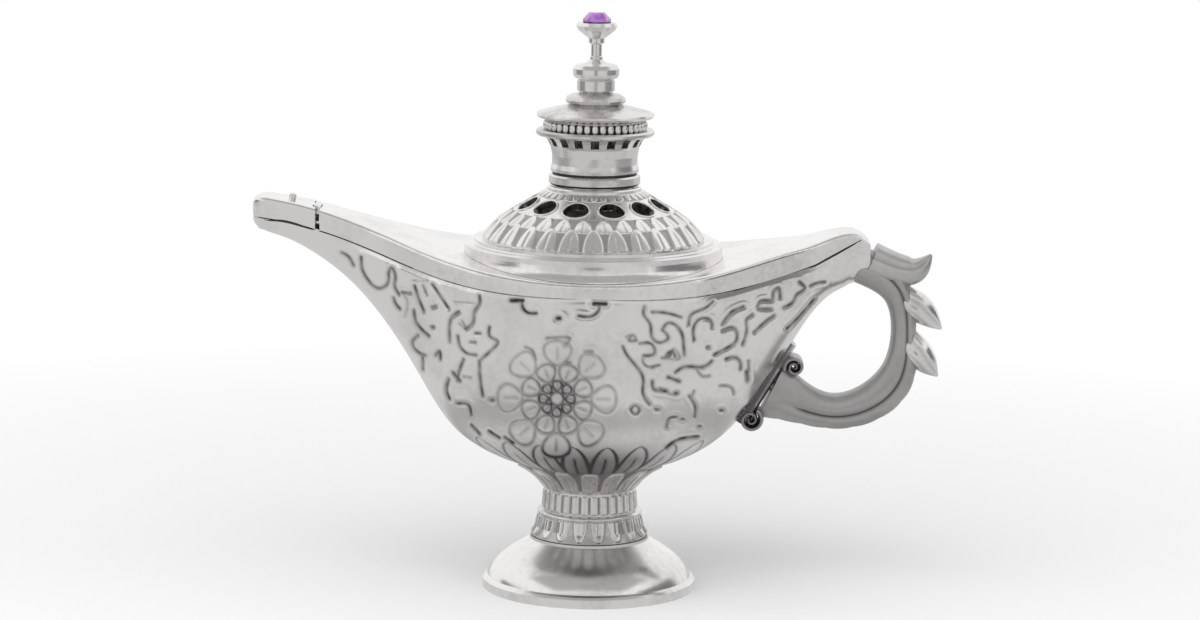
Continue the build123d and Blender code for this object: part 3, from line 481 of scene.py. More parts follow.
@dataclass
class Shape:
    """Closed surfaces in millimetres: points, groups of equal-sided faces, and how dark each point is from
    patina and painted shade.
    """

    points: np.ndarray
    faces: list[np.ndarray]
    patina_and_shade: np.ndarray

    @classmethod
    def grid(cls, points: np.ndarray, patina_and_shade: np.ndarray | None = None, ring: bool = False) -> "Shape":
        """Faces over a grid of points whose columns close on themselves.

        Args:
            points: Rows by columns by three.
            patina_and_shade: Rows by columns, or None for a clean surface.
            ring: True where the rows close on themselves too; otherwise each end row is capped.

        Returns:
            The closed surface, facing outwards.
        """
        rows, columns = points.shape[:2]
        index = np.arange(rows * columns).reshape(rows, columns)
        here = index if ring else index[:-1]
        ahead = np.roll(index, -1, axis=0) if ring else index[1:]
        quads = np.stack([here, np.roll(here, -1, axis=1), np.roll(ahead, -1, axis=1), ahead], axis=-1)
        faces = [quads.reshape(-1, 4)]
        if not ring:
            faces += [index[:1, ::-1], index[-1:]]
        shade = np.zeros(rows * columns) if patina_and_shade is None else patina_and_shade.reshape(-1)
        return cls(points.reshape(-1, 3), faces, shade).outward()

    @classmethod
    def joined(cls, shapes: Sequence["Shape"]) -> "Shape":
        """Several shapes as one."""
        starts = np.cumsum([0] + [len(shape.points) for shape in shapes])
        faces = [group + start for shape, start in zip(shapes, starts) for group in shape.faces]
        points = np.concatenate([shape.points for shape in shapes])
        return cls(points, faces, np.concatenate([shape.patina_and_shade for shape in shapes]))

    def outward(self) -> "Shape":
        """The same surface, with its faces turned round if it was inside out."""
        corners = self.points[self.faces[0]]
        middle = self.points.mean(axis=0)
        across = np.cross(corners[:, 1] - corners[:, 0], corners[:, 2] - corners[:, 0])
        volume = np.einsum("ij,ij->i", corners[:, 0] - middle, across).sum()
        if volume < 0:
            self.faces = [group[:, ::-1] for group in self.faces]
        return self

    def mirrored(self) -> "Shape":
        """The same surface on the other side of the lamp."""
        return Shape(self.points * (1, -1, 1), [group[:, ::-1] for group in self.faces], self.patina_and_shade)

    def turned(self, count: int, first: float = 0.0) -> "Shape":
        """Copies spaced evenly round the lamp's axis.

        Args:
            count: Number of copies.
            first: Angle of the first copy, in radians.

        Returns:
            All the copies as one shape.
        """
        turns = first + circle(count)
        x, y, z = self.points.T
        round_x = np.cos(turns)[:, None] * x - np.sin(turns)[:, None] * y
        round_y = np.sin(turns)[:, None] * x + np.cos(turns)[:, None] * y
        points = np.stack([round_x, round_y, np.broadcast_to(z, round_x.shape)], axis=-1).reshape(-1, 3)
        starts = (np.arange(count) * len(self.points))[:, None, None]
        faces = [(group[None] + starts).reshape(-1, group.shape[1]) for group in self.faces]
        return Shape(points, faces, np.tile(self.patina_and_shade, count))

    def object(self, name: str, crease: float = 50.0) -> bpy.types.Object:
        """Make a Blender object.

        Args:
            name: Its name.
            crease: Edges that turn by more degrees than this stay sharp.

        Returns:
            The object, at the origin, with its points in metres.
        """
        loops = np.concatenate([group.reshape(-1) for group in self.faces])
        sides = np.concatenate([np.full(len(group), group.shape[1]) for group in self.faces])
        starts = np.concatenate([[0], np.cumsum(sides)[:-1]])
        mesh = bpy.data.meshes.new(name)
        mesh.vertices.add(len(self.points))
        mesh.vertices.foreach_set("co", (self.points * MILLIMETRE).astype(np.float32).reshape(-1))
        mesh.loops.add(len(loops))
        mesh.loops.foreach_set("vertex_index", loops.astype(np.int32))
        mesh.polygons.add(len(sides))
        mesh.polygons.foreach_set("loop_start", starts.astype(np.int32))
        mesh.update(calc_edges=True)
        shade = mesh.attributes.new(PATINA_AND_SHADE, "FLOAT", "POINT")
        shade.data.foreach_set("value", self.patina_and_shade.astype(np.float32))
        mesh.shade_smooth()
        mesh.set_sharp_from_angle(angle=math.radians(crease))
        return placed(name, mesh)

    def piece(
        self, name: str, body: Body, slot: Slot, palette: Palette, stands_for: Sequence[str] = ()
    ) -> None:
        """Add the shape to the lamp.

        Args:
            name: The piece's name.
            body: The body that it rides on.
            slot: The slot of its finish.
            palette: The built materials.
            stands_for: CAD nodes that it replaces.
        """
        made = self.object(name)
        made.data.materials.append(palette.materials[slot])
        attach(made, body.value)
        if stands_for:
            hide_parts(*stands_for)
        triangles = sum(len(group) * (group.shape[1] - 2) for group in self.faces)
        log.info("%s rides on %s with %d triangles", name, body.value, triangles)


def turned_band(profile: np.ndarray, relief: np.ndarray, patina_and_shade: np.ndarray) -> Shape:
    """Turn a closed profile about the lamp's axis and push it out by a relief.

    Args:
        profile: Corners by (radius, height), going up outside and down inside.
        relief: Corners by steps round the axis, in millimetres along the profile's outward normal. Corners
            of the profile past its last row stay plain and clean.
        patina_and_shade: Darkness at the same places, from patina and painted shade.

    Returns:
        A closed ring.
    """
    plain = np.zeros((len(profile) - len(relief), relief.shape[1]))
    relief, patina_and_shade = (np.concatenate([rows, plain]) for rows in (relief, patina_and_shade))
    turns = circle(relief.shape[1])
    run = unit(np.roll(profile, -1, axis=0) - np.roll(profile, 1, axis=0))
    radius = profile[:, :1] + relief * run[:, 1:]
    height = profile[:, 1:] - relief * run[:, :1]
    points = np.stack([radius * np.cos(turns), radius * np.sin(turns), height], axis=-1)
    return Shape.grid(points, patina_and_shade, ring=True)


def dark_ring(profile: Sequence[Point], steps: int = 160) -> Shape:
    """A plain dark ring turned from a closed profile."""
    relief = np.zeros((len(profile), steps))
    return turned_band(np.array(profile), relief, relief + 1.0)


def tube(path: np.ndarray, side: np.ndarray, out: np.ndarray, size: np.ndarray, count: int) -> np.ndarray:
    """Round sections carried along a path.

    Args:
        path: Points along the path.
        side: Arrows square to the path, one to a point or one for all.
        out: Arrows square to the path and to the side.
        size: Radius, rows by one or by count.
        count: Points round each section.

    Returns:
        Rows by count by three.
    """
    ring = circle(count)[:, None]
    side, out = (np.broadcast_to(arrow, path.shape)[:, None] for arrow in (side, out))
    return path[:, None] + size[..., None] * (np.cos(ring) * side + np.sin(ring) * out)


def flat_sweep(
    middle: np.ndarray, out: np.ndarray, forward: np.ndarray, sideways: np.ndarray
) -> np.ndarray:
    """Sections carried along a path in the lamp's middle plane.

    Args:
        middle: The path's (along, up) points, or one point for all.
        out: Arrows square to it, one to a point or one for all.
        forward: How far each section's points lie along its arrow, rows by columns.
        sideways: How far they lie across the lamp.

    Returns:
        Rows by columns by three.
    """
    middle, out = (np.broadcast_to(pair, (len(forward), 2)) for pair in (middle, out))
    along, up = (middle[:, [axis]] + out[:, [axis]] * forward for axis in (0, 1))
    return np.stack([along, sideways, up], axis=-1)


def leaf_phase(turns: np.ndarray, count: int) -> np.ndarray:
    """Place across each of count equal leaves round the axis, from -0.5 to 0.5."""
    return np.mod(turns * count / (2 * np.pi) + 0.5, 1.0) - 0.5


@dataclass(frozen=True)
class Leaf:
    """A tongue-shaped carved leaf with a rounded face and a vein, its sizes as shares of the leaf."""

    blunt: float = 2.2
    half_width: float = 0.47
    edge: float = 0.3
    tip: float = 0.06
    fall: float = 0.35
    vein_width: float = 0.06
    vein_end: float = 0.8
    vein_fade: float = 0.2
    vein_depth: float = 0.35
    vein_dark: float = 0.3
    gap_edge: float = 1.15

    def carved(self, across: np.ndarray, along: np.ndarray) -> tuple[np.ndarray, np.ndarray]:
        """The leaf's relief.

        Args:
            across: Place across the leaf, from -0.5 to 0.5.
            along: Place from root, 0, to tip, 1.

        Returns:
            Height from 0 to 1, and darkness, largest in the gap round the leaf and along its vein.
        """
        narrowing = np.clip(1.0 - np.clip(along, 0.0, 1.0) ** self.blunt, 0.0, 1.0)
        edge = np.abs(across) / (self.half_width * np.sqrt(narrowing) + SMALL)
        inside = fade_in(1.0 - edge, self.edge) * fade_in(1.0 - along, self.tip)
        vein_fades = fade_in(self.vein_end - along, self.vein_fade)
        vein = bell(across, self.vein_width) * vein_fades * inside
        height = inside * (1.0 - self.fall * np.clip(edge, 0, 1) ** 2) - self.vein_depth * vein
        return height, np.clip(1.0 - inside * self.gap_edge, 0.0, 1.0) + self.vein_dark * vein


@dataclass
class Hull:
    """The boat-shaped outer skin of the bowl, in millimetres."""

    floor: float = 29.0
    rim: float = 78.8
    half_beam: float = 34.0
    spout_reach: float = 81.3
    spout_rise: float = 15.4
    spout_keel_rise: float = 59.6
    tail_reach: float = 66.0
    tail_rise: float = 8.9
    tail_keel_rise: float = 48.2
    rim_round: float = 1.0
    seam_drop_middle: float = 3.2
    seam_drop_end: float = 5.2
    # Powers that shape a section's side and depth: at the middle, and what is added at the ends
    side_power: Point = (0.66, 0.29)
    depth_power: Point = (0.56, 0.34)
    fine_steps: int = 900
    # Share of reach, half beam, keel rise and sheer rise, toward the spout and then toward the handle
    spout_rows: tuple[Station, ...] = (
        (1.0, 0.06, 1.0, 0.88),
        (0.993, 0.11, 0.973, 0.97),
        (0.975, 0.145, 0.955, 1.0),
        (0.93, 0.17, 0.938, 0.98),
        (0.84, 0.205, 0.884, 0.89),
        (0.72, 0.265, 0.767, 0.71),
        (0.60, 0.40, 0.582, 0.51),
        (0.50, 0.565, 0.372, 0.34),
        (0.41, 0.71, 0.188, 0.22),
        (0.33, 0.83, 0.104, 0.14),
        (0.16, 0.965, 0.022, 0.03),
    )
    tail_rows: tuple[Station, ...] = (
        (0.0, 1.0, 0.0, 0.0),
        (0.20, 0.965, 0.027, 0.035),
        (0.41, 0.81, 0.13, 0.185),
        (0.51, 0.67, 0.237, 0.31),
        (0.61, 0.52, 0.415, 0.465),
        (0.71, 0.38, 0.628, 0.62),
        (0.80, 0.28, 0.82, 0.78),
        (0.90, 0.19, 0.935, 1.0),
        (1.0, 0.135, 1.0, 0.70),
    )
    # Shares of the tail's reach between which the seam climbs straight to the rim
    seam_climb: Point = (0.8, 0.965)

    def __post_init__(self) -> None:
        """Run smooth lines through the stations."""
        spout_sizes = (-self.spout_reach, self.half_beam, self.spout_keel_rise, self.spout_rise)
        tail_sizes = (self.tail_reach, self.half_beam, self.tail_keel_rise, self.tail_rise)
        spout = np.multiply(self.spout_rows, spout_sizes)
        rows = np.concatenate([spout, np.multiply(self.tail_rows, tail_sizes)])
        places, beam, keel, sheer = (rows + [0.0, 0.0, self.floor, self.rim]).T
        self.lines = SmoothLine(places, np.stack([beam, keel, sheer], axis=1))
        self.seam_end = np.interp(self.seam_climb[1] * self.tail_reach, places, sheer)

    def share(self, x: np.ndarray) -> np.ndarray:
        """Share of the way from the middle to the hull's end."""
        return np.where(x < 0, -x / self.spout_reach, x / self.tail_reach)

    def power(self, x: np.ndarray, shape: Point) -> np.ndarray:
        """The power that shapes the sections at places along the lamp."""
        return shape[0] + shape[1] * self.share(x)

    def seam(self, x: np.ndarray) -> np.ndarray:
        """Height of the seam between bowl and cover, which climbs to the rim near the handle."""
        more_drop = (self.seam_drop_end - self.seam_drop_middle) * np.minimum(1.0, 2 * self.share(x))
        level = self.lines(x)[..., 2] - self.seam_drop_middle - more_drop
        start, end = (share * self.tail_reach for share in self.seam_climb)
        low = self.lines(start)[2] - self.seam_drop_end
        climb = np.clip((x - start) / (end - start), 0.0, 1.0)
        return np.where(x < start, level, low + climb * (self.seam_end - low))

    def section(self, x: np.ndarray, angle: np.ndarray) -> np.ndarray:
        """Points of the skin's near side.

        Args:
            x: Places along the lamp.
            angle: Angle round the section, 0 at the keel and a right angle at the rim.

        Returns:
            Points: the half beam times a power of the sine outwards, and the depth times a power of the
            cosine down from the shoulder.
        """
        beam, keel, sheer = np.moveaxis(self.lines(x), -1, 0)
        shoulder = sheer - self.rim_round
        side = np.sin(angle) ** self.power(x, self.side_power)
        depth = np.clip(np.cos(angle), 0.0, 1.0) ** self.power(x, self.depth_power)
        return np.stack([x + 0 * side, -beam * side, shoulder - (shoulder - keel) * depth], axis=-1)

    def skin(self, x: np.ndarray, columns: int) -> np.ndarray:
        """Grid over the near side from keel to seam, its columns evenly spaced along each section.

        Args:
            x: Places of the rows.
            columns: Number of columns.

        Returns:
            Rows by columns by three.
        """
        _, keel, sheer = self.lines(x).T
        shoulder = sheer - self.rim_round
        seam_depth = np.clip((shoulder - self.seam(x)) / (shoulder - keel), 0.0, 1.0)
        seam_angle = np.arccos(seam_depth ** (1 / self.power(x, self.depth_power)))
        spread = (1 - np.cos(np.linspace(0, np.pi, self.fine_steps))) / 2
        angles = seam_angle[:, None] * spread
        fine = self.section(x[:, None], angles)
        lengths = np.cumsum(np.linalg.norm(np.diff(fine, axis=1, prepend=fine[:, :1]), axis=2), axis=1)
        rows = np.arange(len(x))[:, None]
        shares = lengths / lengths[:, -1:] * (1 - TINY)
        # All rows share one table, a unit apart, so a row's last place stops short of the next row's first
        wanted = np.linspace(0.0, 1 - SMALL, columns)[None, :]
        picked = np.interp((rows + wanted).ravel(), (rows + shares).ravel(), angles.ravel())
        return self.section(x[:, None], picked.reshape(len(x), columns))


@dataclass(frozen=True)
class Stroke:
    """An engraved line as the eye sees it: a smooth curve through a few (along, up) points, or a dot."""

    points: tuple[Point, ...]
    half_width: float = 0.5
    depth: float = 1.0
    dot: float = 0.25
    steps: int = 6

    def path(self) -> np.ndarray:
        """Points along the line."""
        if len(self.points) == 1:
            return np.asarray(self.points * 2, float) + [[-self.dot, 0.0], [self.dot, 0.0]]
        if len(self.points) == 2:
            return np.linspace(self.points[0], self.points[1], self.steps)
        return SmoothLine.through(self.points)(np.linspace(0, 1, self.steps * len(self.points)))


# Scrollwork between the spout and the medallion, where the eye's sight lines cross the middle plane
SPOUT_SCROLLS = (
    Stroke(((-60.1, 80.5), (-58.5, 79.5), (-57.3, 77.5))),
    Stroke(((-55.5, 79.5), (-55.1, 76.3), (-53.4, 73.5), (-51.0, 72.0), (-49.4, 72.8), (-48.9, 75.6))),
    Stroke(((-49.0, 75.4), (-48.3, 77.0), (-47.3, 75.4), (-47.4, 72.8), (-46.4, 70.6))),
    Stroke(((-47.6, 69.8), (-47.0, 68.1), (-46.1, 67.1))),
    Stroke(((-42.6, 72.7), (-41.9, 70.4), (-40.4, 66.6))),
    Stroke(((-38.4, 73.1), (-36.6, 70.5), (-34.5, 67.4))),
    Stroke(((-42.7, 66.8), (-42.2, 64.0), (-40.4, 61.8), (-39.1, 60.6))),
    Stroke(((-41.7, 60.7), (-43.0, 59.0), (-41.9, 56.9), (-39.9, 55.9))),
    Stroke(((-40.5, 55.5), (-40.4, 52.4))),
    Stroke(((-37.4, 55.9), (-36.6, 56.9), (-36.3, 54.9))),
    Stroke(((-32.0, 66.6), (-33.6, 65.3), (-34.2, 62.5), (-34.1, 59.4))),
    Stroke(((-27.1, 70.5), (-27.1, 68.7), (-28.2, 66.8), (-28.5, 64.2), (-30.4, 62.4))),
    Stroke(((-32.1, 60.7), (-31.7, 58.4), (-29.7, 56.4), (-27.7, 56.1))),
    Stroke(((-24.6, 63.0), (-24.4, 60.6), (-22.7, 59.6), (-24.5, 56.9), (-26.9, 54.7))),
    Stroke(((-26.9, 54.7), (-26.7, 50.4), (-26.0, 46.1))),
    Stroke(((-30.7, 55.0), (-31.7, 52.3), (-32.2, 49.7))),
    Stroke(((-34.2, 50.1), (-34.7, 47.6), (-33.9, 45.2))),
    Stroke(((-32.0, 44.2), (-29.6, 44.0), (-28.7, 41.4))),
    Stroke(((-28.7, 39.1), (-26.7, 36.9))),
    Stroke(((-24.5, 37.7), (-22.0, 36.1))),
    Stroke(((-20.6, 36.2), (-18.6, 34.8))),
    Stroke(((-23.8, 45.1),), 0.6),
    Stroke(((-27.9, 61.4), (-26.8, 61.4))),
    Stroke(((-29.0, 59.2), (-28.0, 59.2))),
    Stroke(((-38.4, 67.6), (-37.5, 67.9))),
    Stroke(((-38.2, 62.8),)),
    Stroke(((-45.6, 71.1), (-43.5, 71.0)), 0.4),
    Stroke(((-31.8, 63.8), (-30.0, 62.5), (-29.0, 62.9)), 0.4, 0.6),
    Stroke(((-33.1, 51.7), (-31.6, 49.7)), 0.6),
    Stroke(((-30.6, 50.8), (-28.9, 50.5)), 0.4, 0.7),
    Stroke(((-45.2, 70.9), (-44.3, 68.7), (-44.9, 65.3)), 0.4, 0.5),
    Stroke(((-39.8, 70.8), (-40.6, 72.8)), 0.4, 0.8),
    Stroke(((-33.2, 69.0), (-28.2, 68.7)), 0.35, 0.5),
    Stroke(((-31.1, 64.3), (-30.1, 62.4)), 0.4, 0.8),
)
# Scrollwork between the medallion and the handle
TAIL_SCROLLS = (
    Stroke(
        ((12.4, 68.5), (12.3, 66.5), (13.9, 64.2), (14.3, 61.3), (16.3, 59.8), (18.2, 61.0), (16.8, 62.9))
    ),
    Stroke(((16.8, 62.9), (18.1, 64.6), (20.6, 63.6), (21.9, 60.2), (22.2, 56.9))),
    Stroke(((14.3, 67.2), (17.8, 67.0), (21.2, 66.1))),
    Stroke(((28.8, 70.0), (26.6, 68.2), (23.6, 66.6), (23.1, 64.2))),
    Stroke(((24.5, 60.6), (24.3, 63.7), (26.3, 65.9), (28.3, 65.5), (28.7, 63.9))),
    Stroke(((31.2, 63.1), (33.9, 63.7), (34.7, 61.2), (32.0, 58.6), (29.3, 57.1))),
    Stroke(((36.1, 68.9), (33.5, 67.7), (31.2, 64.7))),
    Stroke(((9.4, 61.4), (8.9, 60.3), (10.5, 60.3))),
    Stroke(((7.4, 58.7), (8.7, 56.3), (11.3, 53.2), (12.4, 50.9), (12.4, 47.4), (14.0, 44.7))),
    Stroke(((11.5, 59.5), (14.5, 59.2), (15.0, 57.3), (12.4, 56.5))),
    Stroke(((17.4, 56.1), (19.3, 57.7), (20.0, 56.5))),
    Stroke(((20.1, 52.6), (22.1, 53.9), (27.3, 54.3), (28.8, 55.6))),
    Stroke(((32.2, 56.1), (34.4, 56.5), (35.7, 55.2), (35.7, 53.6))),
    Stroke(((39.5, 69.0), (40.3, 70.4), (42.9, 70.7), (43.3, 72.8), (44.2, 73.6), (44.9, 71.3))),
    Stroke(((39.8, 68.5), (42.8, 68.4))),
    Stroke(((45.8, 68.9), (48.2, 70.5), (49.0, 72.2), (50.7, 73.5), (49.4, 75.2))),
    Stroke(((38.8, 62.7), (41.1, 65.0), (43.5, 66.9))),
    Stroke(((46.6, 63.7), (49.6, 66.9), (53.0, 71.1))),
    Stroke(((23.6, 46.8), (24.9, 44.5), (24.9, 41.9))),
    Stroke(((18.3, 39.3), (18.9, 41.4), (20.6, 41.8))),
    Stroke(((14.6, 50.3), (14.8, 48.7), (18.1, 47.9))),
    Stroke(((18.4, 51.4), (21.2, 50.4))),
    Stroke(((18.2, 34.2), (20.4, 35.9), (25.9, 37.1))),
    Stroke(((9.6, 43.4), (10.6, 44.3), (11.6, 43.2), (10.6, 42.2), (9.6, 43.2)), 0.45),
    Stroke(((15.9, 43.5),), 0.6),
    Stroke(((36.6, 61.3), (37.0, 63.7), (36.9, 65.7), (38.3, 67.1)), 0.45),
    Stroke(((52.0, 74.2), (54.0, 75.0), (55.5, 75.2)), 0.45),
    Stroke(((14.4, 53.9), (16.2, 54.3)), 0.4),
    Stroke(((16.9, 56.1), (18.3, 56.3), (19.4, 58.1)), 0.45),
    Stroke(((16.5, 48.4), (17.9, 48.0)), 0.55),
    Stroke(((20.4, 47.5),), 0.6),
    Stroke(((37.2, 53.1), (37.6, 51.1)), 0.6),
    Stroke(((36.1, 59.8), (36.5, 60.8))),
    Stroke(((22.0, 41.3),)),
    Stroke(((26.2, 39.6),)),
    Stroke(((31.3, 43.5),)),
    Stroke(((27.9, 59.0),)),
    Stroke(((14.6, 53.8),)),
    Stroke(((8.2, 61.1), (9.9, 61.5), (10.6, 60.1)), 0.4, 0.8),
    Stroke(((12.4, 56.8), (12.2, 55.4), (12.9, 54.2), (14.4, 53.7)), 0.4, 0.8),
    Stroke(((19.7, 58.4), (21.1, 56.2), (17.4, 56.1)), 0.4, 0.7),
    Stroke(((14.9, 48.2), (17.2, 48.3), (18.2, 47.6), (20.3, 47.1)), 0.4, 0.7),
    Stroke(((25.2, 53.5), (26.6, 51.8), (28.3, 51.9)), 0.4, 0.8),
    Stroke(((30.7, 49.5), (33.7, 48.9), (34.1, 47.5)), 0.4, 0.8),
    Stroke(((24.6, 48.0), (24.0, 46.3)), 0.4, 0.8),
    Stroke(((37.7, 53.1), (37.6, 55.8)), 0.4, 0.8),
)
# Hooks and dot that hang from the rim, and the darkest petal edges under them
RIM_HOOKS = (
    Stroke(((-19.4, 69.5), (-16.8, 69.5)), 0.6, 1.7),
    Stroke(((-16.9, 69.5), (-16.7, 67.9), (-15.7, 66.7), (-13.4, 66.5)), 0.5, 1.2),
    Stroke(((0.3, 69.0), (3.1, 69.0)), 0.6, 1.7),
    Stroke(((1.6, 69.2), (1.6, 67.7), (0.5, 66.3), (-3.3, 66.0)), 0.5, 1.2),
    Stroke(((-8.1, 65.3),), 0.75, 1.2),
    Stroke(((-10.8, 60.5), (-8.2, 60.7), (-5.3, 60.4), (-6.3, 59.0)), 0.45, 0.8),
    Stroke(((-15.9, 58.2), (-14.4, 57.5), (-13.5, 55.1)), 0.45, 0.8),
    Stroke(((-1.7, 57.4), (0.1, 57.4)), 0.5, 0.8),
    Stroke(((-6.1, 54.6), (-5.1, 54.6)), 0.5, 0.8),
)


@dataclass(frozen=True)
class PetalRing:
    """One ring of the medallion's petals; its turn is a share of a petal."""

    middle: float
    half_length: float
    half_width: float
    turn: float
    depth: float


@dataclass
class Engraving:
    """The lines cut into each side of the bowl, drawn as the eye at the photograph's place sees them."""

    eye: Place = EYE
    # Medallion
    medallion: Point = (-8.2, 45.7)
    petal_rings: tuple[PetalRing, ...] = (
        PetalRing(11.2, 3.0, 3.2, 0.0, 0.6),
        PetalRing(6.6, 2.2, 2.2, 0.5, 0.75),
        PetalRing(3.2, 1.15, 1.05, 0.0, 0.95),
    )
    petal_count: int = 8
    petal_steps: int = 33
    petal_line: float = 0.42
    petal_egg: float = 0.3
    petal_vein: Point = (-0.5, 0.4)
    petal_vein_depth: float = 0.6
    disc: float = 1.6
    disc_depth: float = 0.8
    boss: float = 1.4
    boss_power: float = 0.7
    boss_clear: float = 0.1
    # Lines and their lips, in half widths of a line, and the waver of the hand that cut them
    reach: float = 4.0
    lip_place: float = 2.0
    lip_width: float = 0.8
    waver: float = 0.15
    waver_waves: tuple[Point, Point] = ((1.7, 0.9), (-0.6, 1.1))
    # Leaves that rise from the stem
    leaves: int = 22
    leaf_low: float = 31.5
    leaf_high: float = 39.5
    leaf_powers: Point = (1.7, 0.6)
    leaf_line: float = 0.4
    leaf_vein: float = 0.3
    leaf_vein_depth: float = 0.7
    leaf_vein_end: float = 0.7
    leaf_vein_fade: float = 0.2
    leaf_tip: float = 0.04
    leaf_depth: float = 0.6
    leaf_span: float = 36.0
    leaf_span_fade: float = 6.0
    # Painted dark reflection low on the bowl, and painted shade in the medallion's heart
    low_top: float = 45.0
    low_fade: float = 10.0
    low_reach: float = 20.0
    low_painted_reflection: float = 0.8
    heart_reach: float = 8.0
    heart_painted_shade: float = 0.22

    def seen(self, points: np.ndarray) -> tuple[np.ndarray, np.ndarray]:
        """Where the sight lines to the points cross the lamp's middle plane, along the lamp and up."""
        reach = -self.eye[1] / (points[..., 1] - self.eye[1])
        along = self.eye[0] + (points[..., 0] - self.eye[0]) * reach
        return along, self.eye[2] + (points[..., 2] - self.eye[2]) * reach

    def petals(self) -> list[tuple[float, PetalRing]]:
        """Each petal's turn from upright, and its ring."""
        return [
            (2 * math.pi * (index + ring.turn) / self.petal_count, ring)
            for ring in self.petal_rings
            for index in range(self.petal_count)
        ]

    def rosette(self) -> list[Stroke]:
        """The medallion's lines: rings of egg-shaped petals, each with a vein, round a small disc."""
        turns = np.linspace(0, 2 * np.pi, self.petal_steps)
        lines = [(self.disc * np.cos(turns), self.disc * np.sin(turns), 0.0, self.disc_depth)]
        for turn, ring in self.petals():
            egg = ring.half_width * np.sin(turns) * (1 + self.petal_egg * np.cos(turns))
            lines.append((ring.middle + ring.half_length * np.cos(turns), egg, turn, ring.depth))
            vein = ring.middle + ring.half_length * np.array(self.petal_vein)
            lines.append((vein, np.zeros(2), turn, self.petal_vein_depth * ring.depth))
        strokes = []
        for out, across, turn, depth in lines:
            along = self.medallion[0] + out * math.sin(turn) + across * math.cos(turn)
            up = self.medallion[1] + out * math.cos(turn) - across * math.sin(turn)
            strokes.append(Stroke(tuple(zip(along, up)), self.petal_line, depth))
        return strokes

    def bosses(self, along: np.ndarray, up: np.ndarray) -> np.ndarray:
        """How far the medallion's petals stand up, from 0 at their edges to 1 at their middles."""
        east, north = along - self.medallion[0], up - self.medallion[1]
        height = np.zeros(along.shape)
        for turn, ring in self.petals():
            out = (east * math.sin(turn) + north * math.cos(turn) - ring.middle) / ring.half_length
            across = (east * math.cos(turn) - north * math.sin(turn)) / ring.half_width
            height = np.maximum(height, np.clip(1 - out**2 - across**2, 0.0, 1.0) ** self.boss_power)
        return height

    def lines(self, points: np.ndarray) -> tuple[np.ndarray, np.ndarray]:
        """How deep the lines are cut, and how high the lips and petals beside them stand.

        Args:
            points: Points of the near side, rows by columns by three.

        Returns:
            Depth and lip from 0 on plain plate to about 1. A line's depth fades like a bell with the
            distance from it, and its lip with the distance from a path two half widths off.
        """
        along, up = self.seen(points)
        cut = np.zeros(along.shape)
        lip = np.zeros(along.shape)
        for stroke in (*SPOUT_SCROLLS, *TAIL_SCROLLS, *RIM_HOOKS, *self.rosette()):
            path = stroke.path()
            low = path.min(axis=0) - self.reach * stroke.half_width
            high = path.max(axis=0) + self.reach * stroke.half_width
            near = (along > low[0]) & (along < high[0]) & (up > low[1]) & (up < high[1])
            spots = np.stack([along[near], up[near]], axis=-1)[:, None]
            start, run = path[:-1], np.diff(path, axis=0)
            ahead = ((spots - start) * run).sum(-1) / (run**2).sum(-1).clip(TINY)
            share = np.clip(ahead, 0.0, 1.0)
            gap = np.linalg.norm(spots - start - share[..., None] * run, axis=-1).min(axis=1)
            gap /= stroke.half_width
            cut[near] = np.maximum(cut[near], stroke.depth * bell(gap, 1.0))
            lip[near] = np.maximum(lip[near], stroke.depth * bell(gap - self.lip_place, self.lip_width))
        first, second = (np.sin(wave[0] * along + wave[1] * up) for wave in self.waver_waves)
        pressure = 1.0 - self.waver + self.waver * first * second
        bosses = self.bosses(along, up)
        leaves = self.leaf_depth * self.calyx(points)
        leaves = leaves * fade_in(self.boss_clear - bosses, self.boss_clear)
        cut = np.minimum(np.maximum(cut * pressure, leaves), 1.0)
        return cut, np.maximum(lip, self.boss * bosses) * (1 - cut)

    def tarnish(self, points: np.ndarray) -> np.ndarray:
        """Painted dark reflection low on the bowl's middle, over the cup, and painted shade in the
        medallion's heart.
        """
        along, up = self.seen(points)
        low = fade_in(self.low_top - points[..., 2], self.low_fade) * bell(along, self.low_reach)
        heart = np.hypot(along - self.medallion[0], up - self.medallion[1])
        return self.low_painted_reflection * low + self.heart_painted_shade * bell(heart, self.heart_reach)

    def calyx(self, points: np.ndarray) -> np.ndarray:
        """Outlines and veins of the leaves that rise from the stem onto the bowl."""
        across = leaf_phase(np.arctan2(points[..., 1], points[..., 0]), self.leaves)
        along = (points[..., 2] - self.leaf_low) / (self.leaf_high - self.leaf_low)
        taper, blunt = self.leaf_powers
        half = 0.5 * np.clip(1 - np.clip(along, 0, 1) ** taper, 0, 1) ** blunt
        width = 2 * np.pi * np.hypot(points[..., 0], points[..., 1]) / self.leaves
        outline = bell((np.abs(across) - half) * width, self.leaf_line)
        outline = outline * fade_in(1 + self.leaf_tip - along, self.leaf_tip)
        vein = bell(across * width, self.leaf_vein)
        vein = vein * fade_in(self.leaf_vein_end - along, self.leaf_vein_fade)
        middle = fade_in(self.leaf_span - np.abs(points[..., 0]), self.leaf_span_fade)
        return np.maximum(outline, self.leaf_vein_depth * vein) * middle


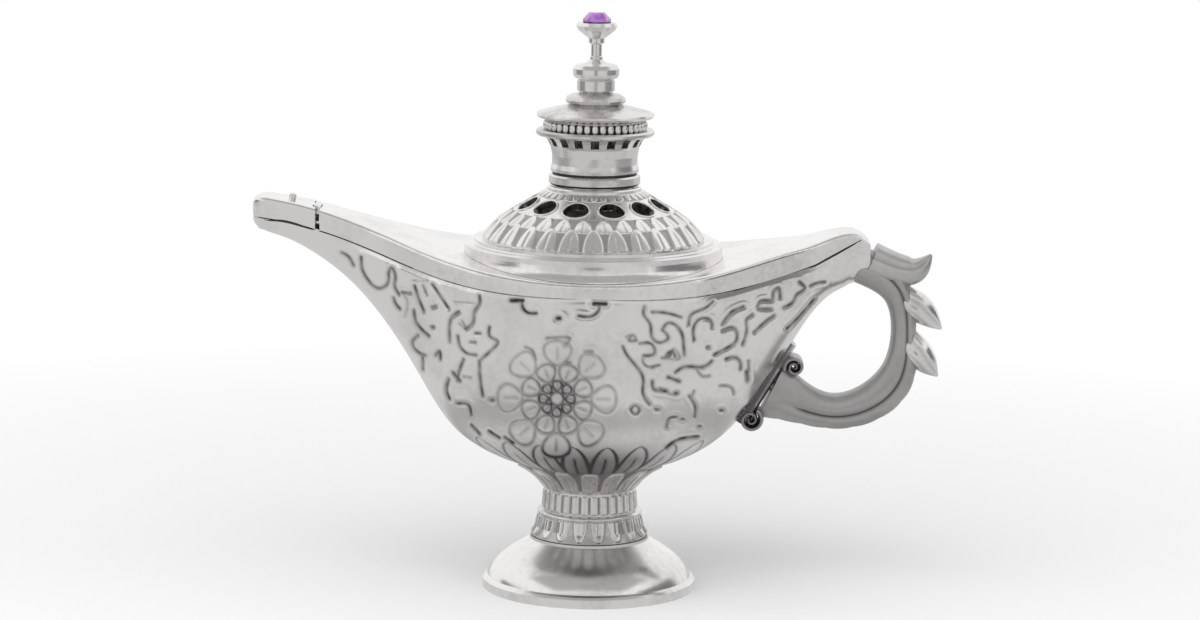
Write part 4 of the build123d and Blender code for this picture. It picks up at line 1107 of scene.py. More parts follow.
@dataclass
class EngravedBowl:
    """The bowl's thin engraved plate over the CAD bowl, one piece on each side, in millimetres."""

    hull: Hull = field(default_factory=Hull)
    engraving: Engraving = field(default_factory=Engraving)
    nose: float = -81.0
    tail: float = 62.5
    rows: int = 470
    columns: int = 190
    back_columns: int = 6
    plate: float = 0.18
    lip: float = 0.07
    floor: float = 0.03
    back: float = 0.5
    # How far the plate takes to thin out at the nose, the tail and the seam, and how deep its ends sink
    nose_fade: float = 4.0
    tail_fade: float = 3.0
    seam_fade: float = 1.4
    end_sink: float = 0.1
    # Largest correction that is believed, and the grid steps that corrections are evened out over
    stray: float = 0.4
    evening: float = 7.0
    # Spans of the seam where a dark wire paints the shadow in the gap
    seam_shadows: tuple[Point, ...] = ((-78.5, -66.5), (51.0, 62.5))
    seam_wire: float = 0.3
    seam_rows: int = 60
    seam_columns: int = 20
    seam_sides: int = 8
    seam_taper: float = 0.03

    def conformed(self, points: np.ndarray) -> np.ndarray:
        """Move the grid onto the CAD bowl, smoothing the small correction along the grid.

        Args:
            points: Grid close to the bowl's outside.

        Returns:
            The grid on the bowl's outside.
        """
        flat = points.reshape(-1, 3)
        probe = Shape(flat, [np.array([[0, 1, 2]])], np.zeros(len(flat))).object("probe")
        wrap = probe.modifiers.new("wrap", "SHRINKWRAP")
        wrap.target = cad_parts["bowl"]
        wrap.wrap_method = "NEAREST_SURFACEPOINT"
        seen = probe.evaluated_get(bpy.context.evaluated_depsgraph_get()).data
        moved = np.empty(points.size, np.float32)
        seen.vertices.foreach_get("co", moved)
        mesh = probe.data
        bpy.data.objects.remove(probe)
        bpy.data.meshes.remove(mesh)
        change = moved.reshape(points.shape) / MILLIMETRE - points
        change = np.where(np.linalg.norm(change, axis=-1, keepdims=True) < self.stray, change, 0.0)
        for axis in (0, 1):
            places = np.arange(points.shape[axis])
            weights = bell(places[:, None] - places, self.evening)
            weights /= weights.sum(axis=1, keepdims=True)
            change = np.moveaxis(np.tensordot(weights, change, axes=(1, axis)), 0, axis)
        return points + change

    def side(self) -> Shape:
        """The near side's plate, a closed shell.

        Returns:
            The hull's skin raised by the plate's thickness less the engraved depth; the plate thins to
            nothing at the nose, the tail and the seam.
        """
        x = np.linspace(self.nose, self.tail, self.rows)
        base = self.conformed(self.hull.skin(x, self.columns))
        round_section = np.gradient(base, axis=1)
        normal = unit(np.cross(np.gradient(base, axis=0), round_section))
        cut, lip = self.engraving.lines(base)
        ends = fade_in(x - self.nose, self.nose_fade)
        ends = ends * fade_in(self.tail - x, self.tail_fade)
        ends = ends[:, None]
        below_seam = np.linalg.norm(round_section, axis=-1)[:, ::-1].cumsum(axis=1)[:, ::-1]
        thin = ends * fade_in(below_seam, self.seam_fade)
        relief = self.plate * (1 - cut) + self.lip * lip + self.floor
        lift = self.floor + relief * thin - self.end_sink * (1 - ends)
        outside = base + normal * lift[..., None]
        inside = base - normal * self.back
        loop = np.concatenate([outside, inside[:, :: -(self.columns // self.back_columns)]], axis=1)
        # Patina in the engraved lines, plus the painted dark reflection low on the bowl and painted shade
        # in the medallion's heart
        dark = np.clip(cut + self.engraving.tarnish(base), 0.0, 1.0)
        clean = np.zeros((self.rows, loop.shape[1] - self.columns))
        return Shape.grid(loop, np.concatenate([dark, clean], axis=1))

    def seam_line(self, start: float, end: float) -> Shape:
        """A dark wire in the near side's seam, a painted shadow of the gap, from one place along the lamp
        to another.
        """
        skin = self.hull.skin(np.linspace(start, end, self.seam_rows), self.seam_columns)
        middle = self.conformed(skin)[:, -1]
        taper = np.sqrt(np.sin(np.linspace(self.seam_taper, np.pi - self.seam_taper, self.seam_rows)))
        points = tube(middle, ACROSS, UP, self.seam_wire * taper[:, None], self.seam_sides)
        return Shape.grid(points, np.ones(points.shape[:2]))

    def build(self, palette: Palette) -> None:
        """Add both sides and the painted seam shadows, and dress the CAD bowl under them."""
        near_seams = Shape.joined([self.seam_line(*span) for span in self.seam_shadows])
        seams = Shape.joined([near_seams, near_seams.mirrored()])
        seams.piece("seam_shadows", Body.LAMP, Slot.SILVER, palette)
        near = self.side()
        near.piece("bowl_plate_near", Body.LAMP, Slot.SILVER, palette)
        near.mirrored().piece("bowl_plate_far", Body.LAMP, Slot.SILVER, palette)
        palette.dress(Slot.SILVER, ["bowl"])


@dataclass
class Stem:
    """Foot, petalled collar and leaf cup, in millimetres."""

    bore: float = 3.4
    base: float = 12.7
    petal_top: float = 17.85
    ring_top: float = 19.05
    top: float = 24.4
    petals: int = 18
    petal_gap: float = 0.4
    petal_height: float = 0.55
    petal_sink: float = 0.15
    petal_dark: float = 0.35
    petal_fade: float = 0.2
    flutes: int = 30
    flute_height: float = 0.55
    flute_sink: float = 0.2
    flute_dark: float = 0.55
    flute_gap: float = 0.62
    flute_gap_fade: float = 0.4
    # Heights over the bead and under the top between which the flutes fade in
    flute_foot: Point = (0.3, 0.7)
    flute_head: Point = (0.3, 0.8)
    cup_foot: float = 11.0
    cup_radius: float = 18.8
    cup_top: float = 31.1
    cup_rim: tuple[Point, ...] = ((18.7, 31.7), (17.6, 32.2), (12.0, 30.6), (8.0, 29.8))
    cup_floor: float = 29.4
    cup_leaves: int = 16
    cup_blunt: float = 3.0
    cup_leaf_height: float = 0.7
    cup_leaf_sink: float = 0.35
    cup_leaf_fade: float = 0.12
    cup_dark: float = 0.08
    cup_gap_dark: float = 0.6
    collar_rows: int = 90
    cup_rows: int = 70
    steps: int = 720

    def collar(self) -> Shape:
        """The collar: a band of hanging petals, a bead and a fluted band, turned from one profile."""
        radii, heights = np.transpose(
            [
                (14.2, self.base),
                (12.9, self.base + 2.2),
                (12.2, self.petal_top),
                (12.3, self.petal_top + 0.1),
                (12.6, self.petal_top + 0.6),
                (12.3, self.ring_top - 0.1),
                (11.3, self.ring_top),
                (10.9, self.top),
            ]
        )
        height = np.linspace(self.base, self.top, self.collar_rows)
        outer = np.stack([np.interp(height, heights, radii), height], axis=1)
        profile = np.concatenate([outer, [(self.bore, self.top), (self.bore, self.base)]])
        turns = circle(self.steps)
        height = height[:, None]
        along = (self.petal_top - height) / (self.petal_top - self.base - self.petal_gap)
        petal, gap = Leaf().carved(leaf_phase(turns, self.petals), along)
        in_petals = fade_in(self.petal_top - height, self.petal_fade)
        rods = np.abs(np.cos(self.flutes * turns / 2))
        in_flutes = smooth_step(height - self.ring_top, *self.flute_foot)
        in_flutes = in_flutes * smooth_step(self.top - height, *self.flute_head)
        relief = in_petals * (self.petal_height * petal - self.petal_sink)
        relief = relief + in_flutes * (self.flute_height * rods - self.flute_sink)
        dark = in_petals * self.petal_dark * gap
        gaps = fade_in(self.flute_gap - rods, self.flute_gap_fade)
        dark = dark + in_flutes * self.flute_dark * gaps
        return turned_band(profile, relief, dark)

    def cup(self) -> Shape:
        """The cup: upright leaves on a flaring profile, its inside hidden in the bowl's wall."""
        rise = self.cup_top - self.top
        flare = (
            (self.cup_foot, self.top),
            (self.cup_foot + 1.7, self.top + 0.32 * rise),
            (self.cup_radius - 3.7, self.top + 0.65 * rise),
            (self.cup_radius, self.cup_top),
        )
        along = np.linspace(0, 1, self.cup_rows)
        outer = SmoothLine.through(flare)(along)
        hole = [(self.bore, self.cup_floor), (self.bore, self.top)]
        profile = np.concatenate([outer, self.cup_rim, hole])
        phase = leaf_phase(circle(self.steps), self.cup_leaves)
        leaf, gap = Leaf(self.cup_blunt).carved(phase, along[:, None])
        fade = fade_in(along, self.cup_leaf_fade)[:, None]
        relief = fade * (self.cup_leaf_height * leaf - self.cup_leaf_sink)
        return turned_band(profile, relief, self.cup_dark + self.cup_gap_dark * fade * gap)

    def build(self, palette: Palette) -> None:
        """Add the relief and dress the foot and its fastenings."""
        self.collar().piece("collar_relief", Body.LAMP, Slot.DARK_SILVER, palette, ["stem_collar"])
        self.cup().piece("cup_leaves", Body.LAMP, Slot.DARK_SILVER, palette, ["leaf_cup"])
        palette.dress(Slot.SILVER, ["foot"])
        palette.dress(Slot.STEEL, ["foot_bolt", "foot_washer", "floor_washer", "foot_nut"])


@dataclass(frozen=True)
class LeafBand:
    """A band of leaves on the dome: where it lies along the profile, and its leaves."""

    start: float
    end: float
    count: int
    height: float
    rows: int
    downward: bool = False
    shift: float = 0.0


@dataclass
class DomeCover:
    """The lifting cover with its moulded ring, pierced dome and neck, in millimetres."""

    profile: tuple[Point, ...] = ((26.4, 85.0), (24.6, 87.3), (22.0, 89.8), (17.1, 93.0), (11.2, 96.6))
    wall: float = 0.9
    lower_leaves: LeafBand = LeafBand(0.0, 0.34, 28, 0.45, 36)
    upper_leaves: LeafBand = LeafBand(0.27, 0.52, 28, 0.3, 28, shift=0.5)
    petals: LeafBand = LeafBand(0.87, 0.985, 36, 0.2, 14, downward=True)
    band_floor: float = 0.06
    band_sink: float = 0.04
    band_fade: float = 0.06
    gap_dark: float = 0.6
    openings: int = 12
    opening_radius: float = 16.2
    opening_half_width: float = 3.15
    opening_half_height: float = 2.8
    bead: float = 0.3
    bead_gap: float = 0.1
    bead_steps: int = 40
    bead_sides: int = 8
    back_rows: int = 4
    profile_steps: int = 200
    # The dome's outward arrow at the openings, outwards and up
    slope: Point = (0.5, 0.87)
    steps: int = 1008

    def band(self, leaves: LeafBand) -> Shape:
        """A band of leaves lying on the dome, a closed ring whose back is sunk in the dome's wall."""
        line = SmoothLine.through(self.profile)
        outer = line(np.linspace(leaves.start, leaves.end, leaves.rows))
        inner = line(np.linspace(leaves.end, leaves.start, self.back_rows)) - [0.0, self.wall]
        along = np.linspace(0, 1, leaves.rows)[:, None]
        phase = leaf_phase(circle(self.steps) + 2 * np.pi * leaves.shift / leaves.count, leaves.count)
        leaf, gap = Leaf().carved(phase, 1 - along if leaves.downward else along)
        edge = fade_in(along, self.band_fade) * fade_in(1 - along, self.band_fade)
        relief = edge * (self.band_floor + leaves.height * leaf) - self.band_sink * (1 - edge)
        return turned_band(np.concatenate([outer, inner]), relief, self.gap_dark * edge * gap)

    def opening_beads(self) -> Shape:
        """A raised bead round each oval opening: a round wire carried along the oval on the dome."""
        radii, heights = SmoothLine.through(self.profile)(np.linspace(0, 1, self.profile_steps)).T
        turns = circle(self.bead_steps)
        reach = self.opening_half_height + self.bead_gap
        radius = self.opening_radius - self.slope[1] * reach * np.sin(turns)
        across = (self.opening_half_width + self.bead_gap) * np.cos(turns)
        height = np.interp(-np.hypot(radius, across), -radii, heights)
        path = np.stack([radius, across, height], axis=1)
        run = unit(np.roll(path, -1, axis=0) - np.roll(path, 1, axis=0))
        out = np.array([self.slope[0], 0.0, self.slope[1]])
        size = np.full((len(path), 1), self.bead)
        points = tube(path, unit(np.cross(run, out)), out, size, self.bead_sides)
        return Shape.grid(points, ring=True).turned(self.openings, math.pi / self.openings)

    def build(self, palette: Palette) -> None:
        """Add the dome's relief and dress the cover's nodes."""
        leaves = Shape.joined([self.band(self.lower_leaves), self.band(self.upper_leaves)])
        leaves.piece("dome_leaves", Body.COVER, Slot.SILVER, palette)
        self.band(self.petals).piece("dome_petals", Body.COVER, Slot.SILVER, palette)
        self.opening_beads().piece("opening_beads", Body.COVER, Slot.SILVER, palette)
        palette.dress(Slot.SILVER, ["cover", "dome_ring", "dome", "dome_collar"])
        palette.dress(Slot.STEEL, ["hinge_pin"])


@dataclass
class SpoutFlap:
    """The hinged flap over the wick's end."""

    nodes: tuple[str, ...] = ("spout_flap", "flap_nub")

    def build(self, palette: Palette) -> None:
        """Dress the flap."""
        palette.dress(Slot.SILVER, self.nodes)


@dataclass
class Lid:
    """The lid with its beaded gallery and finial, in millimetres."""

    beads: int = 40
    bead_circle: float = 11.7
    bead_radius: float = 0.78
    bead_base: float = 111.2
    bead_height: float = 2.0
    bead_powers: Point = (0.45, 0.8)
    bead_cap: float = 0.05
    bead_rows: int = 9
    bead_sides: int = 14
    # The dark ring behind the beads, painted shade between them
    shadow_core_radii: Point = (11.45, 10.6)
    shadow_core_gap: float = 0.02
    # Profiles of dark rings that paint the shade in the drum's groove and in the gap under its chamfer
    groove: tuple[Point, ...] = ((10.06, 100.62), (10.06, 101.08), (9.85, 101.08), (9.85, 100.62))
    chamfer: tuple[Point, ...] = ((10.44, 98.0), (10.92, 98.48), (10.75, 98.5), (10.3, 98.05))

    def gallery(self) -> Shape:
        """The beaded gallery: squared barrels in a circle, with a dark ring behind them that paints the
        shade between the beads.
        """
        turns = circle(self.bead_sides)
        lifts = np.linspace(-0.5, 0.5, self.bead_rows)[:, None] * np.pi
        size = self.bead_radius * np.clip(np.cos(lifts), self.bead_cap, 1.0) ** self.bead_powers[0]
        rise = 0.5 + 0.5 * squared(np.sin(lifts), self.bead_powers[1])
        height = self.bead_base + self.bead_height * rise + 0 * turns
        bead = np.stack([self.bead_circle + size * np.cos(turns), size * np.sin(turns), height], axis=-1)
        low, high = self.bead_base + self.shadow_core_gap, self.bead_base + self.bead_height - self.shadow_core_gap
        outer, inner = self.shadow_core_radii
        shadow_core = dark_ring(((outer, low), (outer, high), (inner, high), (inner, low)))
        return Shape.joined([Shape.grid(bead).turned(self.beads), shadow_core])

    def build(self, palette: Palette) -> None:
        """Add the gallery and the drum's painted shadow lines, and dress the lid's nodes."""
        self.gallery().piece("bead_gallery", Body.LID, Slot.SILVER, palette, ["pearl_ring"])
        shadow_lines = Shape.joined([dark_ring(self.groove), dark_ring(self.chamfer)])
        shadow_lines.piece("drum_shadow_rings", Body.LID, Slot.SILVER, palette)
        palette.dress(Slot.DARK_SILVER, ["lid_drum", "lid_cap"])
        palette.dress(Slot.SILVER, ["finial_spool", "finial_goblet"])
        palette.dress(Slot.STEEL, ["tie_rod", "tie_washer", "tie_nut"])
        palette.dress(Slot.GEM, ["jewel"])


@dataclass(frozen=True)
class Bar:
    """A cast bar of the handle: its path, rows of (share, half depth, share of width), and its finish."""

    path: tuple[Point, ...]
    sizes: tuple[tuple[float, float, float], ...]
    scale: float
    groove: float
    tarnish: float
    ribs: float = 0.0


@dataclass(frozen=True)
class Roll:
    """A rolled end of the handle: its middle, outer radius and the angle where it starts, in degrees."""

    middle: Point
    radius: float
    start: float


LOOP_PATH = (
    (63.5, 79.8), (72.5, 73.7), (74.8, 62.9), (72.5, 51.1), (59.0, 43.8), (50.0, 45.8), (43.2, 48.9),
)
LOOP_SIZES = (
    (0.0, 4.5, 1.0),
    (0.165, 3.7, 1.0),
    (0.33, 3.1, 0.92),
    (0.52, 4.6, 0.95),
    (0.68, 4.5, 1.0),
    (0.8, 4.4, 1.0),
    (0.9, 5.4, 1.0),
    (1.0, 7.4, 1.0),
)
THUMB_PATH = ((66.5, 80.8), (72.5, 78.6), (77.0, 78.4), (80.9, 82.2))
THUMB_SIZES = ((0.0, 1.0, 1.06), (0.4, 0.9, 0.98), (0.75, 0.62, 0.7), (1.0, 0.08, 0.1))
UPPER_SPINE_PATH = ((73.5, 72.2), (77.8, 69.6), (81.0, 66.8), (83.8, 64.2))
LOWER_SPINE_PATH = ((75.4, 61.8), (78.4, 58.4), (80.8, 55.4), (83.2, 52.7))
SPINE_SIZES = ((0.0, 0.85, 0.7), (0.3, 0.95, 0.98), (0.75, 0.62, 0.7), (1.0, 0.08, 0.1))
DEEP_GROOVE = 0.16
HANDLE_TARNISH = 0.55


@dataclass
class Handle:
    """The cast handle: a two-stranded loop with leaf spines, a pad and rolled ends, in millimetres."""

    width: float = 7.6
    bars: tuple[Bar, ...] = (
        Bar(LOOP_PATH, LOOP_SIZES, 1.0, DEEP_GROOVE, HANDLE_TARNISH, ribs=13.0),
        Bar(THUMB_PATH, THUMB_SIZES, 4.3, 0.1, 0.7 * HANDLE_TARNISH),
        Bar(UPPER_SPINE_PATH, SPINE_SIZES, 3.6, 0.05, 0.05 * HANDLE_TARNISH),
        Bar(LOWER_SPINE_PATH, SPINE_SIZES, 3.6, 0.05, 0.05 * HANDLE_TARNISH),
    )
    bar_power: float = 0.85
    bar_rows: int = 150
    bar_sides: int = 72
    # Where the groove lies on each flank, in half turns from the bar's outside, and its half width
    flanks: Point = (0.44, 1.56)
    flank_width: float = 0.17
    groove_end: float = 0.15
    groove_power: float = 1.3
    rib_slant: float = 0.45
    rib_depth: float = 0.05
    rib_edge: Point = (0.1, 0.6)
    rib_power: float = 0.5
    rolls: tuple[Roll, ...] = (Roll((48.6, 54.8), 2.9, 200.0), Roll((38.4, 41.8), 3.3, 60.0))
    roll_turns: float = 1.75
    roll_shrink: float = 0.86
    roll_power: float = 0.35
    roll_inset: float = 0.5
    # The strip's half thickness at its start and what it loses by its end, and its narrowing
    roll_thick: Point = (0.62, 0.2)
    roll_narrowing: float = 0.12
    roll_gap_dark: float = 0.6
    roll_gap_edge: Point = (0.2, 0.9)
    roll_rows: int = 90
    roll_sides: int = 16
    pad_low: Point = (35.4, 41.2)
    pad_high: Point = (47.0, 61.0)
    pad_half_width: float = 4.2
    pad_half_depth: float = 2.3
    pad_lift: float = 0.2
    pad_power: float = 0.7
    pad_end_share: float = 0.72
    # The groove's place and half width round the pad, in radians, and its shares of depth and width
    pad_groove: Point = (0.9, 0.16)
    pad_groove_cut: Point = (0.18, 0.12)
    # Painted shade on the pad's side toward the bowl, and where it sets in and over how far
    pad_bowl_shade: float = 0.9
    pad_bowl_shade_edge: Point = (0.8, 0.5)
    pad_rows: int = 60
    pad_sides: int = 40

    def bar(self, bar: Bar) -> Shape:
        """A cast bar carried along a path in the lamp's middle plane.

        Args:
            bar: The bar's path, sizes and finish.

        Returns:
            A closed bar of squared ovals, parted by a dark groove along each flank and crossed by
            slanting ribs on its outside.
        """
        share = np.linspace(0, 1, self.bar_rows)
        middle = SmoothLine.through(bar.path)(share)
        run = unit(np.gradient(middle, axis=0))
        out = np.stack([-run[:, 1], run[:, 0]], axis=1)
        rows = np.asarray(bar.sizes)
        depth, wide = SmoothLine(rows[:, 0], rows[:, 1:] * [bar.scale, self.width / 2])(share).T
        share = share[:, None]
        turns = circle(self.bar_sides)
        flank = np.min([np.abs(turns - angle * np.pi) for angle in self.flanks], axis=0)
        cut = bell(flank, self.flank_width) * fade_in(1 - share, self.groove_end)
        size = 1.0 - bar.groove * cut
        if bar.ribs:
            outside = smooth_step(np.cos(turns), *self.rib_edge)
            slant = bar.ribs * share - self.rib_slant * np.abs(np.sin(turns))
            crest = np.abs(np.sin(np.pi * slant)) ** self.rib_power * outside
            size = size - self.rib_depth * (1 - crest) * outside
        forward = depth[:, None] * size * squared(np.cos(turns), self.bar_power)
        sideways = wide[:, None] * size * squared(np.sin(turns), self.bar_power)
        dark = np.maximum(bar.tarnish, bar.groove / DEEP_GROOVE * cut**self.groove_power)
        return Shape.grid(flat_sweep(middle, out, forward, sideways), dark)

    def roll(self, roll: Roll) -> Shape:
        """A rolled end: a flat strip wound clockwise in a shrinking spiral, dark between its turns."""
        share = np.linspace(0, 1, self.roll_rows)[:, None]
        turn = math.radians(roll.start) - 2 * np.pi * self.roll_turns * share
        reach = (roll.radius - self.roll_inset) * (1 - self.roll_shrink * share)
        thick = self.roll_thick[0] - self.roll_thick[1] * share
        wide = self.pad_half_width * (1.0 - self.roll_narrowing * share)
        ring = circle(self.roll_sides)
        forward = reach + thick * np.cos(ring)
        sideways = wide * squared(np.sin(ring), self.roll_power)
        out = np.concatenate([np.cos(turn), np.sin(turn)], axis=1)
        gap = smooth_step(-np.cos(ring), *self.roll_gap_edge)
        dark = HANDLE_TARNISH + self.roll_gap_dark * gap + 0 * share
        return Shape.grid(flat_sweep(roll.middle, out, forward, sideways), dark)

    def pad(self) -> Shape:
        """The leaf-shaped pad, grooved down its middle, with painted shade on its side toward the bowl."""
        low, high = np.asarray(self.pad_low), np.asarray(self.pad_high)
        run = unit(high - low)
        out = np.array([run[1], -run[0]])
        share = np.linspace(0, 1, self.pad_rows)[:, None]
        swell = self.pad_end_share + (1 - self.pad_end_share) * np.sin(np.pi * share)
        wide = self.pad_half_width * swell
        ring = circle(self.pad_sides)
        middle = low + share * (high - low) + self.pad_lift * out
        place, half_width = self.pad_groove
        cut = bell(np.abs(ring - np.pi / 2) - place, half_width) + 0 * share
        deep, narrow = self.pad_groove_cut
        forward = (1.0 - deep * cut) * self.pad_half_depth * np.cos(ring)
        sideways = wide * (1.0 - narrow * cut) * squared(np.sin(ring), self.pad_power)
        edge, fade = self.pad_bowl_shade_edge
        dark = np.maximum(cut, self.pad_bowl_shade * fade_in(edge - np.cos(ring), fade))
        return Shape.grid(flat_sweep(middle, out, forward, sideways), dark)

    def build(self, palette: Palette) -> None:
        """Add the casting and dress its screws."""
        shapes = [self.bar(bar) for bar in self.bars]
        shapes += [self.roll(roll) for roll in self.rolls]
        shapes.append(self.pad())
        Shape.joined(shapes).piece("handle_casting", Body.LAMP, Slot.SILVER, palette, ["handle"])
        palette.dress(Slot.STEEL, ["handle_screws"])


@dataclass
class Wick:
    """The cotton wick in its brass tube, in millimetres."""

    route: tuple[Point, ...] = (
        (-77.46, 91.39),
        (-66.5, 85.56),
        (-58.05, 80.11),
        (-49.11, 71.15),
        (-32.88, 47.48),
    )
    radius: float = 1.25
    strands: int = 6
    lay: float = 7.0
    strand_depth: float = 0.18
    end_round: float = 0.6
    end_size: float = 0.05
    rows: int = 420
    sides: int = 36

    def line(self) -> np.ndarray:
        """Points along the route's smooth spline."""
        curve = bpy.data.curves.new("wick_route", "CURVE")
        curve.dimensions = "3D"
        curve.resolution_u = 40
        spline = curve.splines.new("NURBS")
        spline.points.add(len(self.route) - 1)
        rows = [(x * MILLIMETRE, 0.0, z * MILLIMETRE, 1.0) for x, z in self.route]
        spline.points.foreach_set("co", np.asarray(rows, np.float32).reshape(-1))
        spline.use_endpoint_u = True
        spline.order_u = 3
        holder = placed("wick_route", curve)
        graph = bpy.context.evaluated_depsgraph_get()
        mesh = bpy.data.meshes.new_from_object(holder.evaluated_get(graph))
        points = np.empty(3 * len(mesh.vertices), np.float32)
        mesh.vertices.foreach_get("co", points)
        bpy.data.objects.remove(holder)
        bpy.data.curves.remove(curve)
        bpy.data.meshes.remove(mesh)
        return points.reshape(-1, 3) / MILLIMETRE

    def build(self, palette: Palette) -> None:
        """Add the braided wick and dress its tube.

        The wick is a round cord along its route whose surface rises and falls in two crossing helices.
        """
        coarse = self.line()
        run = run_along(coarse)
        places = np.linspace(0.0, run[-1], self.rows)
        middle = np.stack([np.interp(places, run, coarse[:, axis]) for axis in range(3)], axis=1)
        out = np.cross(unit(np.gradient(middle, axis=0)), ACROSS)
        turns = circle(self.sides)
        twist = 2 * np.pi * places[:, None] / self.lay
        helices = [np.abs(np.sin(self.strands * (turns + way * twist) / 2)) for way in (1, -1)]
        braid = np.maximum(*helices)
        to_end = np.minimum(places, run[-1] - places)
        ends = np.sqrt(np.clip(to_end / self.end_round, self.end_size, 1.0))
        size = self.radius * ends[:, None] * (1 - self.strand_depth + self.strand_depth * braid**2)
        points = tube(middle, ACROSS, out, size, self.sides)
        Shape.grid(points, 1 - braid).piece("wick_braid", Body.LAMP, Slot.COTTON, palette, ["wick"])
        palette.dress(Slot.BRASS, ["wick_tube"])


@dataclass(frozen=True)
class SoftLight:
    """A square soft light aimed at the lamp, in millimetres and watts."""

    name: str
    place: Place
    size: float
    watts: float


@dataclass(frozen=True)
class Card:
    """A grey card that the polished metal mirrors: its corners, in millimetres, and its grey level."""

    name: str
    corners: tuple[Place, ...]
    tone: float


def upright(start: Point, end: Point, height: float) -> tuple[Place, ...]:
    """Corners of a card that stands on the floor between two places."""
    return (*start, 0.0), (*end, 0.0), (*end, height), (*start, height)


def level(start: Point, end: Point, height: float) -> tuple[Place, ...]:
    """Corners of a level card between two opposite corners."""
    return (*start, height), (end[0], start[1], height), (*end, height), (start[0], end[1], height)


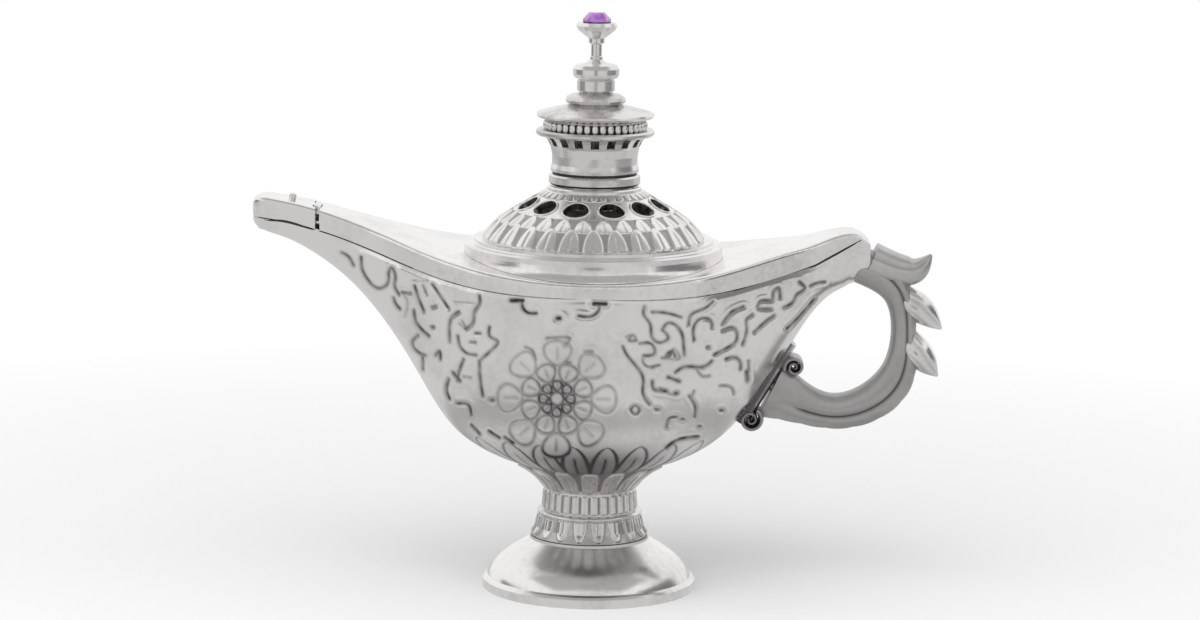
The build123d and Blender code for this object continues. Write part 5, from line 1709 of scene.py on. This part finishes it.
@dataclass
class Studio:
    """Floor, pale surroundings, soft lights, grey cards and the camera, in millimetres."""

    eye: Place = EYE
    target: Place = (1.8, 0.0, 67.5)
    lens: float = 114.0
    sensor: float = 36.0
    roll: float = 0.9
    floor_half: float = 4000.0
    pale: float = 0.9
    grain: float = 0.02
    grain_scale: float = 300.0
    # Distance from the lamp where the floor starts to run out into white, and over how far, in metres
    white_from: float = 0.05
    white_over: float = 0.3
    # Grey levels of the floor as the polished metal mirrors it: in a ring round the foot, a painted shadow
    # of the lamp, and elsewhere
    shadow_ring_tone: float = 0.45
    shadow_ring_radius: float = 78.0
    shadow_ring_half: float = 26.0
    mirrored: float = 0.68
    surround_light: float = 0.55
    card_grain: float = 0.1
    card_grain_scale: float = 20.0
    aim: Place = (0.0, 0.0, 60.0)
    lights: tuple[SoftLight, ...] = (
        SoftLight("key_light", (-500.0, -650.0, 700.0), 1400.0, 9.0),
        SoftLight("fill_light", (650.0, -500.0, 450.0), 1200.0, 4.0),
    )
    cards: tuple[Card, ...] = (
        Card("front_wall", upright((-1800, -1500), (1800, -1500), 1100), 0.7),
        Card("front_card", upright((-130, -880), (130, -880), 210), 0.2),
        Card("right_card", upright((750, -500), (750, 400), 420), 0.2),
        Card("left_card", upright((-800, -300), (-800, 400), 260), 0.2),
        Card("top_card", level((-900, -1000), (900, 60), 900), 0.45),
    )

    def camera(self) -> None:
        """Place the camera, leaning as the photograph leans."""
        eye, target = Vector(self.eye) * MILLIMETRE, Vector(self.target) * MILLIMETRE
        ahead = (target - eye).normalized()
        right = ahead.cross(Vector(UP)).normalized()
        upwards = right.cross(ahead)
        lean = math.radians(self.roll)
        across = math.cos(lean) * right + math.sin(lean) * upwards
        above = math.cos(lean) * upwards - math.sin(lean) * right
        data = bpy.data.cameras.new("camera")
        data.lens = self.lens
        data.sensor_width = self.sensor
        data.clip_start = 0.01
        made = placed("camera", data)
        turn = Matrix((across, above, -ahead)).transposed()
        made.matrix_world = Matrix.Translation(eye) @ turn.to_4x4()
        bpy.context.scene.camera = made

    def sheet(self, name: str, corners: Sequence[Place], material: bpy.types.Material) -> bpy.types.Object:
        """A flat four-cornered sheet, which is part of the stage.

        Args:
            name: Its name.
            corners: Its corners, in millimetres.
            material: Its material.

        Returns:
            The sheet's object.
        """
        mesh = bpy.data.meshes.new(name)
        mesh.from_pydata((np.asarray(corners, float) * MILLIMETRE).tolist(), [], [(0, 1, 2, 3)])
        mesh.materials.append(material)
        made = placed(name, mesh)
        return made

    def floor(self) -> None:
        """A pale floor that keeps the lamp's shadow, runs out into white, and mirrors grey in the metal
        with a painted shadow ring round the foot.
        """
        material, graph = new_graph("pale_floor")
        place = graph.place()
        far = graph.node("ShaderNodeVectorMath", {"operation": "LENGTH"}, {0: place}, out="Value")
        white = ((far - self.white_from) / self.white_over).clamped()
        glossy = graph.node("ShaderNodeLightPath", out="Is Glossy Ray")
        grain = graph.noise(place, self.grain_scale, detail=2.0)
        paper_colour = graph.mixed(grain, (self.pale,) * 3, (self.pale + self.grain,) * 3)
        # A darker ring round the foot, seen only in reflections, paints the floor's shade there
        off_shadow_ring = (far / MILLIMETRE - self.shadow_ring_radius) / self.shadow_ring_half
        ring = (1.0 - off_shadow_ring * off_shadow_ring).clamped()
        mirrored = graph.mixed(ring, (self.mirrored,) * 3, (self.shadow_ring_tone,) * 3)
        paper = graph.principled({"Base Color": paper_colour, **DULL})
        glow = graph.glow(graph.mixed(glossy, WHITE[:3], mirrored))
        shares = {0: (white + glossy).clamped(), 1: paper, 2: glow}
        graph.finish(graph.node("ShaderNodeMixShader", {}, shares))
        half = (self.floor_half, self.floor_half)
        self.sheet("floor", level((-self.floor_half, -self.floor_half), half, 0.0), material)

    def world(self) -> None:
        """White surroundings for the eye and for reflections, and a plain grey light otherwise."""
        world = bpy.data.worlds.new("surroundings")
        bpy.context.scene.world = world
        world.use_nodes = True
        graph = Graph(world.node_tree)
        camera, glossy, through = (
            graph.node("ShaderNodeLightPath", out=f"Is {kind} Ray")
            for kind in ("Camera", "Glossy", "Transmission")
        )
        light, white = (
            graph.node("ShaderNodeBackground", {}, {"Color": WHITE, "Strength": strength})
            for strength in (self.surround_light, 1.0)
        )
        shares = {0: (camera + glossy + through).clamped(), 1: light, 2: white}
        graph.finish(graph.node("ShaderNodeMixShader", {}, shares), "ShaderNodeOutputWorld")

    def shine(self, light: SoftLight) -> None:
        """Hang a soft light, which the polished metal doesn't mirror."""
        data = bpy.data.lights.new(light.name, "AREA")
        data.size = light.size * MILLIMETRE
        data.energy = light.watts
        made = placed(light.name, data)
        made.location = Vector(light.place) * MILLIMETRE
        aim = Vector(self.aim) * MILLIMETRE - made.location
        made.rotation_euler = aim.to_track_quat("-Z", "Y").to_euler()
        made.visible_glossy = False

    def stand(self, card: Card) -> None:
        """Set up a grey card that only reflections see."""
        material, graph = new_graph(card.name)
        grain = graph.noise(graph.place(), self.card_grain_scale, detail=2.0)
        low, high = ((card.tone * (1 + change),) * 3 for change in (-self.card_grain, self.card_grain))
        graph.finish(graph.glow(graph.mixed(grain, low, high)))
        made = self.sheet(card.name, card.corners, material)
        made.visible_camera = False
        made.visible_shadow = False
        made.visible_diffuse = False

    def build(self) -> None:
        """Set the whole studio."""
        self.camera()
        self.floor()
        self.world()
        for light in self.lights:
            self.shine(light)
        for card in self.cards:
            self.stand(card)
        bpy.context.scene.view_settings.view_transform = "Standard"


def main() -> None:
    """Build every sub-assembly and the studio."""
    logging.basicConfig(level=logging.INFO, format="%(message)s")
    palette = Palette()
    for assembly in (EngravedBowl(), Stem(), DomeCover(), SpoutFlap(), Lid(), Handle(), Wick()):
        assembly.build(palette)
        log.info("%s done", type(assembly).__name__)
    Studio().build()


if __name__ == "__main__":
    main()
